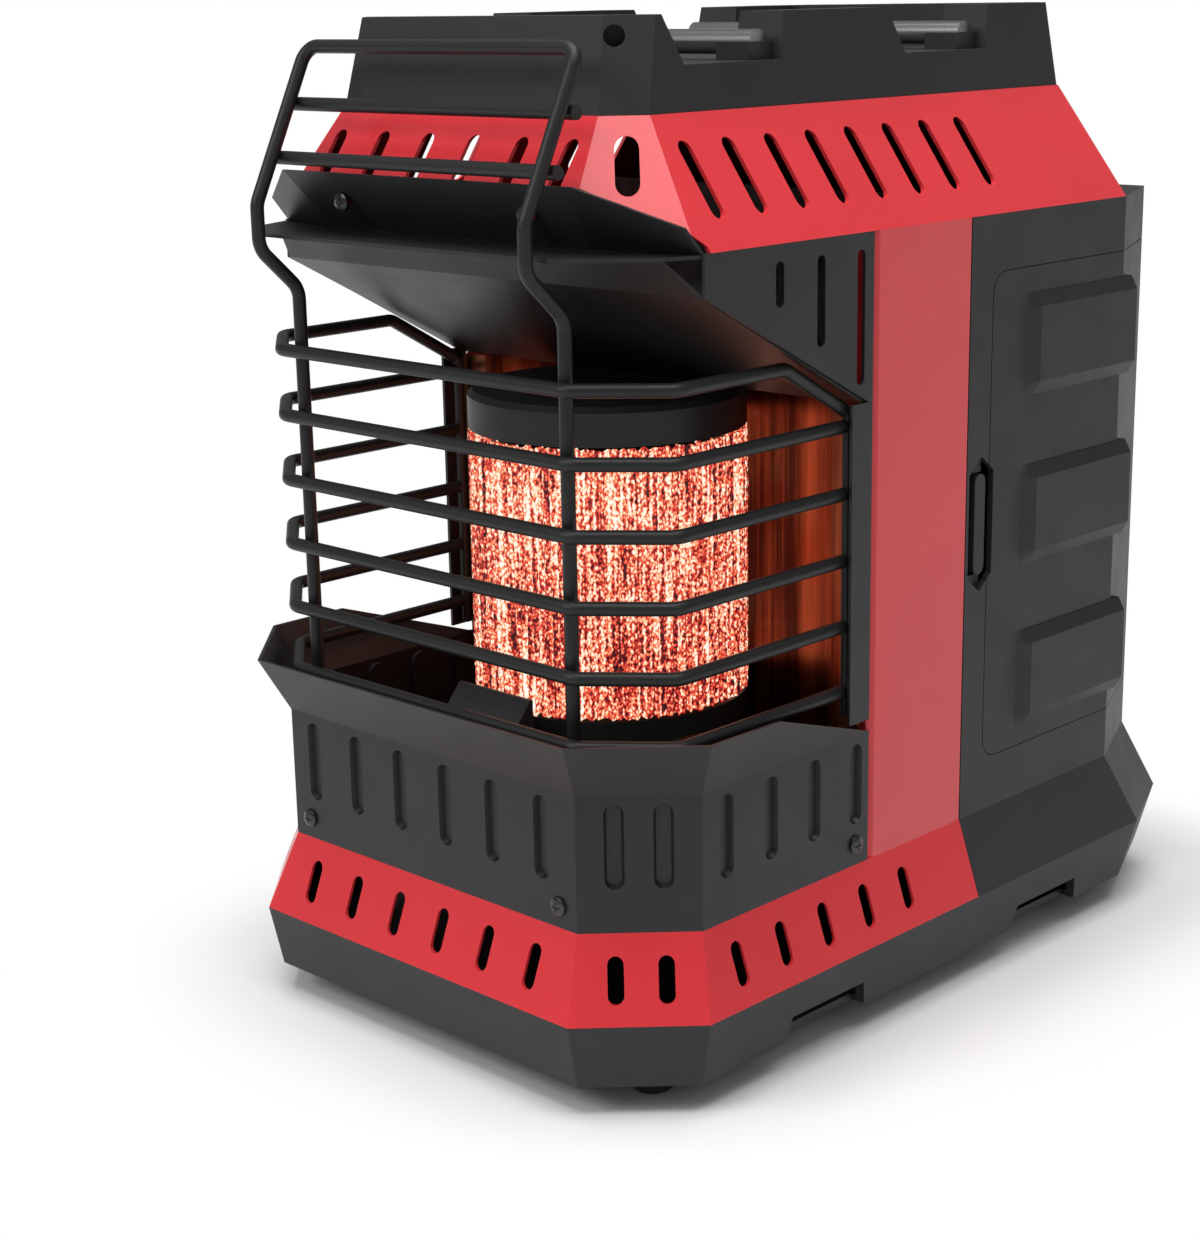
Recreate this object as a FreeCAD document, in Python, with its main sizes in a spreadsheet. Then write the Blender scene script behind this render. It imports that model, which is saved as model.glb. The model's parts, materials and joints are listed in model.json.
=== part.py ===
import FreeCAD, Part
import math
import os
import re

import Sketcher

# Portable propane heater, millimetres. +Z is up, the burner faces -Y, and the
# origin is at floor level in the middle of the overall width and length.

SIZES = {
    # overall plan: eight sides that every casing follows
    "overall_width": 228.6, "overall_length": 342.9,
    "flare_side": 9.8, "flare_end": 11.4, "corner_cut": 30.0, "flare_corner_cut": 34.0,
    "tail_cut_side": 19.5, "tail_cut_end": 44.5, "split_y": 15.2,
    # heights of the folds, from the floor up
    "foot_height": 11.0, "skirt_low_z": 34.9, "skirt_top_z": 63.7, "shroud_bend_z": 112.4,
    "shroud_lip_z": 132.7, "shoulder_low_z": 289.6, "shoulder_height": 41.4,
    "cover_height": 30.95,
    # walls and clearances
    "sheet": 1.2, "moulded_wall": 2.5, "seam": 0.3, "hinge_seam": 0.4, "running_fit": 0.1,
    # base tray and feet
    "base_taper": 5.0, "base_floor": 2.5, "arch_height": 21.0, "arch_bevel": 6.0,
    "arch_front_y": -71.0, "arch_rear_y": 66.0, "arch_length": 52.0,
    "foot_radius": 7.5, "foot_stem_radius": 3.0, "post_radius": 5.0,
    "post_front_y": -118.0, "post_rear_y": 100.0,
    # lower skirt slots
    "slot_width": 5.6, "skirt_slot_length": 15.2, "skirt_slot_z": 49.0,
    "skirt_slot_first_x": -59.0, "skirt_slot_pitch": 23.4, "skirt_side_slot_y": -117.0,
    "skirt_side_slot_pitch": 23.2, "corner_slot_spread": 8.6,
    # front shroud
    "lip_out": 10.3, "lip_side_out": 9.8, "shroud_end_y": -41.0, "rib_width": 6.8,
    "rib_length": 30.0, "rib_z": 94.3, "rib_depth": 2.0, "rib_taper": 24.0, "rib_spread": 8.3,
    "rib_first_x": -62.0, "rib_pitch": 24.0, "rib_side_y": -117.8, "rib_side_pitch": 23.2,
    # screws
    "screw_head_radius": 3.4, "screw_head_height": 1.7, "screw_shank_radius": 1.7,
    "screw_length": 7.0, "shroud_screw_z": 71.5,
    "shroud_side_screw_y": -48.0, "hood_screw_x": 45.8,
    # deck and walls inside
    "deck_z": 66.0, "deck_thick": 1.5, "deck_gap": 1.0,
    "panel_front_y": -40.0, "panel_return": 14.0, "panel_bevel": 2.2,
    "flange_front_y": -52.0, "flange_back_y": -41.0, "flange_low_z": 117.0,
    "partition_y": 6.0,
    # hood
    "gusset_low_z": 231.5, "gusset_slot_first_y": -90.5, "gusset_slot_pitch": 21.3,
    "gusset_slot_short": 15.0, "gusset_slot_grow": 15.5, "gusset_slot_width": 4.2,
    # wire guard
    "wire": 4.8, "weld_gap": 0.05, "guard_foot_z": 74.0, "guard_bend": 9.0,
    "guard_corner_bend": 6.0, "ring_top_z": 247.2, "ring_pitch": 23.8, "ring_count": 6,
    "ring_end_y": -50.0, "ring_bend": 7.0, "hood_ring_drop": 8.51, "hood_ring_end_z": 229.0,
    # burner
    "burner_y": -64.5, "burner_radius": 52.0, "burner_low_z": 116.0, "burner_top_z": 216.0,
    "burner_wall": 2.0, "cap_height": 14.0, "cap_under": 0.6, "base_ring_height": 8.0,
    "throat_radius": 16.0, "flame_gap": 7.0,
    # reflector
    "reflector_side_y": -42.8, "reflector_mid_y": -13.0, "reflector_back_x": 36.0,
    "reflector_back_y": -8.0, "reflector_sheet": 0.9, "reflector_low_z": 76.0,
    # shoulder
    "shoulder_top_cut": 11.7, "shoulder_top_tail_cut": 14.4, "shoulder_tail_side": 56.0,
    "shoulder_slope": 0.68, "wedge_back": 3.0, "wedge_rise": 2.0, "wedge_nose": 10.5,
    "shoulder_slot_x": -57.2, "shoulder_slot_pitch": 22.9,
    "shoulder_slot_width": 6.0, "shoulder_slot_length": 24.0,
    "shoulder_side_slot_y": -111.3, "shoulder_side_slot_pitch": 21.15,
    "corner_slot_width": 8.0, "corner_slot_length": 18.0,
    # rear housing and door
    "strip_back_y": 29.0, "door_low_z": 84.0, "door_top_z": 269.0, "door_corner": 8.0,
    "pad_first_z": 92.0, "pad_pitch": 64.5, "pad_height": 38.0, "pad_slope": 5.0,
    "pad_start_y": 50.0, "pad_full_y": 56.0, "pad_end_y": 121.0, "pad_rise": 3.2,
    "pad_edge": 0.4, "latch_front_y": 17.0, "latch_back_y": 32.0, "latch_low_z": 151.0,
    "latch_top_z": 202.0, "latch_nose": 6.0, "latch_depth": 8.0, "catch_length": 38.0,
    "catch_width": 6.4, "catch_thick": 6.0, "catch_travel": 4.0,
    "hinge_pin_radius": 1.5, "knuckle_radius": 3.6, "knuckle_length": 9.0,
    "hinge_low_z": 104.0, "hinge_top_z": 222.0, "knuckle_gap": 0.4, "hinge_leaf": 2.0,
    "leaf_width": 12.0,
    # top cover
    "cover_inset": 0.6, "cover_top_cut": 12.0, "cover_rim": 19.0, "tray_depth": 15.95,
    "tray_floor": 2.5, "notch_first_y": -110.0, "notch_second_y": 7.5, "notch_length": 61.0,
    "notch_front_slope": 9.5, "notch_back_slope": 2.5, "cover_hole_radius": 3.5,
    "cover_hole_drop": 6.3, "cover_hole_shift": 4.9,
    "bar_radius": 4.2, "bar_lift": 6.0, "bar_back": 8.5, "bar_end_gap": 4.0,
    "saddle_length": 14.0, "saddle_width": 13.0,
    # controls on the rear slope
    "knob_x": -34.0, "knob_radius": 17.0, "knob_height": 16.0, "knob_gap": 5.0,
    "stem_radius": 3.0, "stem_length": 26.0,
    "valve_width": 26.0, "valve_depth": 24.0, "valve_gap": 5.0, "igniter_x": 34.0,
    "igniter_radius": 8.0, "igniter_depth": 26.0, "igniter_collar": 10.5,
    "button_radius": 6.0, "button_height": 7.0, "button_travel": 5.0,
    # gas supply in the cylinder bay
    "supply_y": 94.0, "pivot_z": 279.0, "pivot_radius": 3.0, "bracket_half": 24.0,
    "bracket_height": 14.0, "regulator_radius": 17.0, "inlet_radius": 12.2,
    "inlet_depth": 15.0, "inlet_low_z": 254.0, "regulator_dome_z": 288.0,
    "tube_radius": 3.0, "tube_bend": 7.2, "tube_lift": 1.5, "tube_x": 58.0, "tube_y": 24.0,
    "tube_low_y": -20.0, "tube_turn_x": 40.0,
    # small parts by the burner
    "pilot_x": 4.0, "pilot_half": 18.5, "pilot_top_z": 128.0, "pilot_fall": 9.5,
    "pilot_slope": 8.0, "nozzle_radius": 4.0, "nozzle_drop": 22.0, "electrode_radius": 1.5,
    # tip switch
    "switch_x": -40.0, "switch_y": 70.0, "switch_half": 14.0, "switch_low_z": 36.0,
    "switch_wall": 2.0, "switch_pivot_drop": 5.5, "pendulum_radius": 7.0,
    "pendulum_arm": 14.0, "pendulum_rod": 1.4, "pendulum_hub": 3.0, "switch_pivot_radius": 1.5,
}

# Places that follow the casing: each is a formula of the sizes with its own offset.
LINKS = {
    "shoulder_top_z": "shoulder_low_z + shoulder_height",
    "overall_height": "shoulder_top_z + cover_height",
    "tray_z": "overall_height - tray_depth",
    "bar_seat_z": "tray_z + bar_lift",
    "shoulder_slot_z": "shoulder_low_z + shoulder_height / 2 + 1.7",
    "shoulder_side_slot_z": "shoulder_low_z + shoulder_height / 2 + 0.5",
    "corner_slot_z": "shoulder_low_z + shoulder_height / 2 + 5.6",
    # across, from the side walls
    "shroud_screw_x": "overall_width / 2 - 48.3",
    "foot_x": "overall_width / 2 - 32.3", "post_x": "overall_width / 2 - 30.3",
    "lip_half_width": "overall_width / 2 - 34.4", "guard_x": "overall_width / 2 - 47.3",
    "bar_half": "guard_x + 2.6", "ring_corner_x": "overall_width / 2 - 41.8",
    "ring_side_x": "overall_width / 2 - 15.1", "visor_half_width": "overall_width / 2 - 42.6",
    "visor_side_x": "overall_width / 2 - 12.1", "visor_foot_x": "overall_width / 2 - 50.3",
    "deflector_lip_half": "overall_width / 2 - 43.2",
    "deflector_corner_x": "overall_width / 2 - 17.3",
    "reflector_side_x": "overall_width / 2 - 12.8",
    "reflector_mid_x": "overall_width / 2 - 44.3",
    "shoulder_top_half": "overall_width / 2 - 39.6", "cover_top_half": "shoulder_top_half - 3.7",
    "hinge_x": "overall_width / 2 - 5", "catch_x": "overall_width / 2 - flare_side - 3.5",
    # along, from the front
    "guard_y": "19.35 - overall_length / 2", "guard_nose_y": "2.85 - overall_length / 2",
    "guard_top_y": "28.35 - overall_length / 2", "ring_corner_y": "36.25 - overall_length / 2",
    "lip_peak_y": "69.55 - overall_length / 2", "visor_front_y": "18.45 - overall_length / 2",
    "visor_side_y": "36.85 - overall_length / 2", "visor_foot_y": "34.45 - overall_length / 2",
    "deflector_lip_y": "7.95 - overall_length / 2",
    "deflector_corner_y": "28.45 - overall_length / 2",
    "deflector_fold_y": "33.45 - overall_length / 2",
    "gusset_front_y": "44.45 - overall_length / 2",
    "shoulder_top_front": "40.45 - overall_length / 2",
    "cover_top_front": "shoulder_top_front + 7",
    "pilot_y": "burner_y - burner_radius - 11.5",
    # along, from the rear
    "foot_y": "overall_length / 2 - 39.45", "shoulder_top_rear": "overall_length / 2 - 48.45",
    "shoulder_top_tail_y": "shoulder_top_rear - 11.4",
    "cover_top_rear": "shoulder_top_rear - 5", "cover_top_tail_y": "shoulder_top_tail_y - 4.6",
    # up, from the shoulder's lower edge
    "gusset_nose_z": "shoulder_low_z - 14.1", "gusset_slot_top_z": "shoulder_low_z - 5.6",
    "deflector_z": "shoulder_low_z - 1.6", "visor_side_z": "shoulder_low_z + 8.5",
    "visor_top_z": "shoulder_low_z + 21", "guard_kick_z": "shoulder_low_z - 20.6",
    "guard_nose_low_z": "shoulder_low_z - 5.1", "guard_nose_z": "shoulder_low_z + 10.4",
    "guard_top_z": "shoulder_low_z + 63", "bar_low_z": "shoulder_low_z + 25.5",
    "bar_high_z": "shoulder_low_z + 43.5",
    # where the top ring turns down under the deflector's slope
    "hood_ring_turn_y": "deflector_fold_y + (deflector_z - ring_top_z - hood_ring_drop)"
                        " * (panel_front_y - deflector_fold_y) / (deflector_z - gusset_low_z)",
}


def sheet_of_sizes(doc):
    """Spreadsheet that holds every size, and the places that follow from them."""
    sheet = doc.addObject("Spreadsheet::Sheet", "Sizes")
    rows = [(name, str(value)) for name, value in SIZES.items()]
    rows += [(name, "=" + formula) for name, formula in LINKS.items()]
    for row, (name, text) in enumerate(rows, start=1):
        sheet.set("A%d" % row, name)
        sheet.set("B%d" % row, text)
        sheet.setAlias("B%d" % row, name)
    doc.recompute()
    return sheet


DOC = FreeCAD.newDocument("propane_heater")
SHEET = sheet_of_sizes(DOC)
PARTS = []
V = FreeCAD.Vector
FAR = "4 * overall_length"
INNER_CORNER = "(2 - sqrt(2))"
TAIL_SIDE = "0.21"
TAIL_END = "0.65"


def size(name):
    """One size, read from the sheet."""
    return float(SHEET.get(name))


def bound(text):
    """Turn plain size names in a formula into references to the sheet."""
    def reference(match):
        word = match.group()
        return "Sizes." + word if word in SIZES or word in LINKS else word
    return re.sub(r"[a-z_][a-z_0-9]*", reference, text)


def number(text):
    """What a formula of sizes comes to."""
    return float(SHEET.evalExpression(bound(text)))


def origin_item(body, role):
    return [item for item in body.Origin.OriginFeatures if item.Role == role][0]


def new_body(name):
    body = DOC.addObject("PartDesign::Body", name)
    body.Label = name
    PARTS.append(body)
    return body


def code_part(name, shape):
    """A piece whose folded or swept form is built from the sheet's sizes."""
    part = DOC.addObject("Part::Feature", name)
    part.Label = name
    part.Shape = shape
    part.Placement = FreeCAD.Placement()
    PARTS.append(part)
    return part


def place(part, base, rotation):
    part.Placement = FreeCAD.Placement(base, rotation)


def sketch(body, role, base=("0", "0", "0"), axis=V(0, 1, 0), turn="0"):
    """A sketch on one of the body's own planes, shifted and turned by formulas."""
    drawing = body.newObject("Sketcher::SketchObject", "Outline")
    drawing.AttachmentSupport = (origin_item(body, role), "")
    drawing.MapMode = "FlatFace"
    if turn != "0":
        rotation = FreeCAD.Rotation(axis, number(turn))
        drawing.AttachmentOffset = FreeCAD.Placement(V(0, 0, 0), rotation)
        drawing.setExpression("AttachmentOffset.Rotation.Angle", bound(turn))
    for letter, text in zip("xyz", base):
        drawing.setExpression("AttachmentOffset.Base." + letter, bound(text))
    return drawing


def pin(drawing, element, point, across, up):
    """Fix one point of an outline by two formulas."""
    for kind, text in (("DistanceX", across), ("DistanceY", up)):
        rule = Sketcher.Constraint(kind, -1, 1, element, point, number(text))
        index = drawing.addConstraint(rule)
        drawing.setExpression("Constraints[%d]" % index, bound(text))


def polygon(drawing, points):
    """Closed outline through points given as formulas."""
    spots = [V(number(across), number(up), 0) for across, up in points]
    first = drawing.GeometryCount
    count = len(spots)
    for i in range(count):
        drawing.addGeometry(Part.LineSegment(spots[i], spots[(i + 1) % count]), False)
    for i in range(count):
        after = first + (i + 1) % count
        drawing.addConstraint(Sketcher.Constraint("Coincident", first + i, 2, after, 1))
    for i, (across, up) in enumerate(points):
        pin(drawing, first + i, 1, across, up)
    return drawing


def circle(drawing, across, up, radius):
    centre = V(number(across), number(up), 0)
    shape = Part.Circle(centre, V(0, 0, 1), number(radius))
    index = drawing.addGeometry(shape, False)
    pin(drawing, index, 3, across, up)
    rule = drawing.addConstraint(Sketcher.Constraint("Radius", index, number(radius)))
    drawing.setExpression("Constraints[%d]" % rule, bound(radius))
    return drawing


def slot(drawing, across, up, length, width):
    """Upright slot with round ends, centred on a point."""
    x, y = number(across), number(up)
    radius = number(width) / 2
    half = number(length) / 2 - radius
    top, low = V(x, y + half, 0), V(x, y - half, 0)
    side = V(radius, 0, 0)
    normal = V(0, 0, 1)
    left = drawing.addGeometry(Part.LineSegment(low - side, top - side), False)
    right = drawing.addGeometry(Part.LineSegment(top + side, low + side), False)
    cap = Part.ArcOfCircle(Part.Circle(top, normal, radius), 0, math.pi)
    bowl = Part.ArcOfCircle(Part.Circle(low, normal, radius), math.pi, 2 * math.pi)
    cap = drawing.addGeometry(cap, False)
    bowl = drawing.addGeometry(bowl, False)
    joins = ((left, 2, cap, 2), (right, 1, cap, 1), (right, 2, bowl, 2), (left, 1, bowl, 1))
    for one, one_end, other, other_end in joins:
        drawing.addConstraint(Sketcher.Constraint("Tangent", one, one_end, other, other_end))
    reach = "((%s) / 2 - (%s) / 2)" % (length, width)
    pin(drawing, cap, 3, across, "(%s) + %s" % (up, reach))
    pin(drawing, bowl, 3, across, "(%s) - %s" % (up, reach))
    rule = drawing.addConstraint(Sketcher.Constraint("Radius", cap, radius))
    drawing.setExpression("Constraints[%d]" % rule, bound("(%s) / 2" % width))
    return drawing


def extrude(body, kind, drawing, length, side="One side", backwards=False):
    """Pad or Pocket of a sketch. A Pocket runs against the sketch's normal."""
    item = body.newObject("PartDesign::" + kind, kind)
    item.Profile = drawing
    item.SideType = side
    item.Reversed = backwards
    item.setExpression("Length", bound(length))
    return item


def through(body, drawing):
    """Cut an outline right through the body, both ways."""
    return extrude(body, "Pocket", drawing, FAR, "Symmetric")


def revolve(body, drawing, axis="V_Axis"):
    item = body.newObject("PartDesign::Revolution", "Turned")
    item.Profile = drawing
    item.ReferenceAxis = (drawing, [axis])
    item.Angle = 360
    return item


def loft(body, kind, levels):
    """Ruled loft through rings, each given as its height and its points."""
    rings = [polygon(sketch(body, "XY_Plane", ("0", "0", z)), ring) for z, ring in levels]
    item = body.newObject("PartDesign::" + kind + "Loft", "Wall")
    item.Profile = rings[0]
    item.Sections = [(ring, [""]) for ring in rings[1:]]
    item.Ruled = True
    return item


def repeat(body, item, role, pitch, count):
    row = body.newObject("PartDesign::LinearPattern", "Row")
    row.Originals = [item]
    row.Direction = (origin_item(body, role), [""])
    row.Mode = "Spacing"
    row.setExpression("Offset", bound(pitch))
    row.Occurrences = count
    body.Tip = row
    return row


def mirror(body, item, role="YZ_Plane"):
    twin = body.newObject("PartDesign::Mirrored", "Twin")
    twin.Originals = [item]
    twin.MirrorPlane = (origin_item(body, role), [""])
    body.Tip = twin
    return twin


def ring(half, front, cut, tail_y, rear, tail, inset="0"):
    """Eight sided plan: flat nose, two cut corners, long sides and a tapered tail."""
    side = "((%s) - (%s))" % (half, inset)
    nose = "((%s) + (%s))" % (front, inset)
    leg = "((%s) - %s * (%s))" % (cut, INNER_CORNER, inset)
    back = "((%s) - (%s))" % (rear, inset)
    turn = "((%s) - %s * (%s))" % (tail_y, TAIL_SIDE, inset)
    narrow = "((%s) - (%s) - %s * (%s))" % (half, tail, TAIL_END, inset)
    right = [("%s - %s" % (side, leg), nose), (side, "%s + %s" % (nose, leg)),
             (side, turn), (narrow, back)]
    left = [("-(%s)" % across, up) for across, up in reversed(right)]
    return right + left


def wall_ring(inset="0"):
    return ring("overall_width / 2 - flare_side", "flare_end - overall_length / 2",
                "corner_cut", "overall_length / 2 - flare_end - tail_cut_end",
                "overall_length / 2 - flare_end", "tail_cut_side", inset)


def flare_ring(inset="0"):
    return ring("overall_width / 2", "-overall_length / 2", "flare_corner_cut",
                "overall_length / 2 - tail_cut_end", "overall_length / 2",
                "tail_cut_side", inset)


def foot_ring(inset="0"):
    return ring("overall_width / 2 - base_taper", "base_taper - overall_length / 2",
                "corner_cut", "overall_length / 2 - base_taper - tail_cut_end",
                "overall_length / 2 - base_taper", "tail_cut_side", inset)


def shoulder_ring(inset="0"):
    return ring("shoulder_top_half", "shoulder_top_front", "shoulder_top_cut",
                "shoulder_top_tail_y", "shoulder_top_rear", "shoulder_top_tail_cut", inset)


def shoulder_foot_ring(inset="0"):
    return ring("overall_width / 2 - flare_side", "flare_end - overall_length / 2",
                "corner_cut", "overall_length / 2 - flare_end - tail_cut_end",
                "overall_length / 2 - flare_end", "shoulder_tail_side", inset)


def cover_ring(inset="0"):
    return ring("cover_top_half", "cover_top_front", "cover_top_cut", "cover_top_tail_y",
                "cover_top_rear", "shoulder_top_tail_cut", inset)


def box_points(low_x, high_x, low_y, high_y):
    return [(low_x, low_y), (high_x, low_y), (high_x, high_y), (low_x, high_y)]


def corner_cutter(body, across, z, slots, length, width, depth, kind="Pocket", skin=False):
    """Slots square to the cut corner, cut right through, or on its skin, inwards."""
    middle_y = "flare_end - overall_length / 2 + corner_cut / 2"
    base = (across, z, "-(%s)" % middle_y)
    drawing = sketch(body, "XZ_Plane", base, V(0, 1, 0), "45")
    for spot in slots:
        slot(drawing, spot, "0", length, width)
    return extrude(body, kind, drawing, depth, "One side" if skin else "Symmetric",
                   kind == "Pad")


# base


def base_tray():
    body = new_body("base_tray")
    loft(body, "Additive", [("foot_height", foot_ring()), ("skirt_low_z", flare_ring())])
    floor = "foot_height + base_floor"
    loft(body, "Subtractive", [(floor, foot_ring("moulded_wall + 1")),
                               ("skirt_low_z", flare_ring("moulded_wall"))])
    for centre in ("arch_front_y", "arch_rear_y"):
        low = "(%s) - arch_length / 2" % centre
        high = "(%s) + arch_length / 2" % centre
        arch = [(low, "0"), (high, "0"), ("%s - arch_bevel" % high, "arch_height"),
                ("%s + arch_bevel" % low, "arch_height")]
        base = ("0", "0", "overall_width / 2 - base_taper - arch_bevel")
        drawing = polygon(sketch(body, "YZ_Plane", base), arch)
        cut = extrude(body, "Pocket", drawing, "overall_width", "One side", True)
        mirror(body, cut)
    drawing = sketch(body, "XY_Plane", ("0", "0", floor))
    for side in ("post_x", "-post_x"):
        for y in ("post_front_y", "post_rear_y"):
            circle(drawing, side, y, "post_radius")
    extrude(body, "Pad", drawing, "deck_z - foot_height - base_floor")
    holes = sketch(body, "XY_Plane", ("0", "0", "0"))
    for side in ("foot_x", "-foot_x"):
        for y in ("foot_y", "-foot_y"):
            circle(holes, side, y, "foot_stem_radius + running_fit")
    extrude(body, "Pocket", holes, "foot_height + base_floor + 1", "One side", True)
    return body


def feet():
    for end, y in (("front", -1), ("rear", 1)):
        for side, x in (("left", -1), ("right", 1)):
            body = new_body("foot_%s_%s" % (end, side))
            profile = [("0", "0"), ("foot_radius - 1.2", "0"), ("foot_radius", "1.2"),
                       ("foot_radius - 0.5", "foot_height"), ("foot_stem_radius", "foot_height"),
                       ("foot_stem_radius", "foot_height + base_floor"),
                       ("0", "foot_height + base_floor")]
            revolve(body, polygon(sketch(body, "XZ_Plane"), profile))
            spot = V(x * size("foot_x"), y * size("foot_y"), 0)
            place(body, spot, FreeCAD.Rotation())


def deck():
    body = new_body("deck_plate")
    inset = "moulded_wall + deck_gap"
    loft(body, "Additive", [("deck_z", wall_ring(inset)),
                            ("deck_z + deck_thick", wall_ring(inset))])
    drawing = sketch(body, "XY_Plane", ("0", "0", "deck_z"))
    circle(drawing, "0", "burner_y", "throat_radius - 4")
    through(body, drawing)
    face = "(overall_width / 2 - flare_side - panel_return - seam)"
    notch = polygon(sketch(body, "XY_Plane", ("0", "0", "deck_z")),
                    box_points(face, "overall_width", "panel_front_y - seam", "split_y"))
    cut = extrude(body, "Pocket", notch, "4 * deck_thick", "Symmetric")
    mirror(body, cut)
    return body


# red and black skirts


def lower_skirt():
    body = new_body("lower_skirt")
    loft(body, "Additive", [("skirt_low_z", flare_ring()), ("skirt_top_z", wall_ring())])
    loft(body, "Subtractive", [("skirt_low_z", flare_ring("sheet")),
                               ("skirt_top_z", wall_ring("sheet"))])
    back = box_points("-overall_width", "overall_width", "split_y", "overall_length")
    through(body, polygon(sketch(body, "XY_Plane"), back))
    front = ("0", "0", "overall_length / 2 + 1")
    drawing = slot(sketch(body, "XZ_Plane", front), "skirt_slot_first_x", "skirt_slot_z",
                   "skirt_slot_length", "slot_width")
    cut = extrude(body, "Pocket", drawing, "corner_cut")
    repeat(body, cut, "X_Axis", "skirt_slot_pitch", 6)
    drawing = slot(sketch(body, "YZ_Plane"), "skirt_side_slot_y", "skirt_slot_z",
                   "skirt_slot_length", "slot_width")
    cut = through(body, drawing)
    repeat(body, cut, "Y_Axis", "skirt_side_slot_pitch", 5)
    cut = corner_cutter(body, "overall_width / 2 - flare_side - corner_cut / 2", "skirt_slot_z",
                        ("-corner_slot_spread", "corner_slot_spread"),
                        "skirt_slot_length", "slot_width", "corner_cut")
    mirror(body, cut)
    return body


def lip_ring(inset="0"):
    return ring("overall_width / 2 - flare_side + lip_side_out",
                "flare_end - overall_length / 2 - lip_out",
                "overall_width / 2 - flare_side + lip_side_out - lip_half_width",
                "overall_length / 2 - flare_end - tail_cut_end",
                "overall_length / 2 - flare_end", "tail_cut_side", inset)


def pressed_ribs(body, role, base, spot, flip, run):
    """Row of ribs pressed into the sheet: a bulge inside, then a tapered hollow outside."""
    drawing = slot(sketch(body, role, base), spot[0], spot[1], "rib_length + 2 * sheet",
                   "rib_width + 2 * sheet")
    bulge = extrude(body, "Pad", drawing, "rib_depth + sheet", "One side", not flip)
    repeat(body, bulge, *run)
    drawing = slot(sketch(body, role, base), spot[0], spot[1], "rib_length", "rib_width")
    hollow = extrude(body, "Pocket", drawing, "rib_depth", "One side", flip)
    hollow.TaperAngle = -size("rib_taper")
    repeat(body, hollow, *run)


def front_shroud():
    body = new_body("front_shroud")
    loft(body, "Additive", [("skirt_top_z", wall_ring()), ("shroud_bend_z", wall_ring()),
                            ("shroud_lip_z", lip_ring())])
    loft(body, "Subtractive", [("skirt_top_z", wall_ring("sheet")),
                               ("shroud_bend_z", wall_ring("sheet")),
                               ("shroud_lip_z", lip_ring("sheet"))])
    back = box_points("-overall_width", "overall_width", "shroud_end_y", "overall_length")
    through(body, polygon(sketch(body, "XY_Plane"), back))
    slope = [("lip_peak_y", "shroud_lip_z + 0.2"), ("shroud_end_y - 1", "shroud_bend_z + 0.5"),
             ("shroud_end_y + 5", "shroud_bend_z + 0.5"), ("shroud_end_y + 5", "2 * shroud_lip_z"),
             ("lip_peak_y", "2 * shroud_lip_z")]
    through(body, polygon(sketch(body, "YZ_Plane"), slope))
    front = ("0", "0", "overall_length / 2 - flare_end")
    face = "overall_width / 2 - flare_side"
    pressed_ribs(body, "XZ_Plane", front, ("rib_first_x", "rib_z"), False,
                 ("X_Axis", "rib_pitch", 6))
    pressed_ribs(body, "YZ_Plane", ("0", "0", face), ("rib_side_y", "rib_z"), False,
                 ("Y_Axis", "rib_side_pitch", 4))
    pressed_ribs(body, "YZ_Plane", ("0", "0", "-(%s)" % face), ("rib_side_y", "rib_z"), True,
                 ("Y_Axis", "rib_side_pitch", 4))
    for kind in ("Pad", "Pocket"):
        grow = "2 * sheet" if kind == "Pad" else "0"
        rib = corner_cutter(body, "%s - corner_cut / 2" % face, "rib_z",
                            ("-rib_spread", "rib_spread"), "rib_length + %s" % grow,
                            "rib_width + %s" % grow,
                            "rib_depth + sheet" if kind == "Pad" else "rib_depth", kind, True)
        if kind == "Pocket":
            rib.TaperAngle = -size("rib_taper")
        mirror(body, rib)
    holes = sketch(body, "XZ_Plane", front)
    for side in ("shroud_screw_x", "-shroud_screw_x"):
        circle(holes, side, "shroud_screw_z", "screw_shank_radius + running_fit")
    extrude(body, "Pocket", holes, "sheet + 1")
    hole = sketch(body, "YZ_Plane")
    circle(hole, "shroud_side_screw_y", "shroud_screw_z", "screw_shank_radius + running_fit")
    through(body, hole)
    return body


def screw_shape(point, direction):
    """Pan head screw that points along a direction, head seated at a point."""
    head = Part.makeCylinder(size("screw_head_radius"), size("screw_head_height"),
                             point, direction * -1)
    rim = [edge for edge in head.Edges
           if (edge.CenterOfMass - point).dot(direction) < -size("screw_head_height") / 2
           and edge.Curve.TypeId == "Part::GeomCircle"]
    head = head.makeFillet(size("screw_head_height") * 0.45, rim)
    shank = Part.makeCylinder(size("screw_shank_radius"), size("screw_length"),
                              point, direction)
    return head.fuse(shank)


def shroud_screws():
    side_x = size("overall_width") / 2 - size("flare_side")
    front_y = size("flare_end") - size("overall_length") / 2
    z = size("shroud_screw_z")
    screws = []
    for side in (-1, 1):
        screws.append(screw_shape(V(side * size("shroud_screw_x"), front_y, z), V(0, 1, 0)))
        screws.append(screw_shape(V(side * side_x, size("shroud_side_screw_y"), z),
                                  V(-side, 0, 0)))
    code_part("shroud_screws", Part.makeCompound(screws))


# side walls


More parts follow.
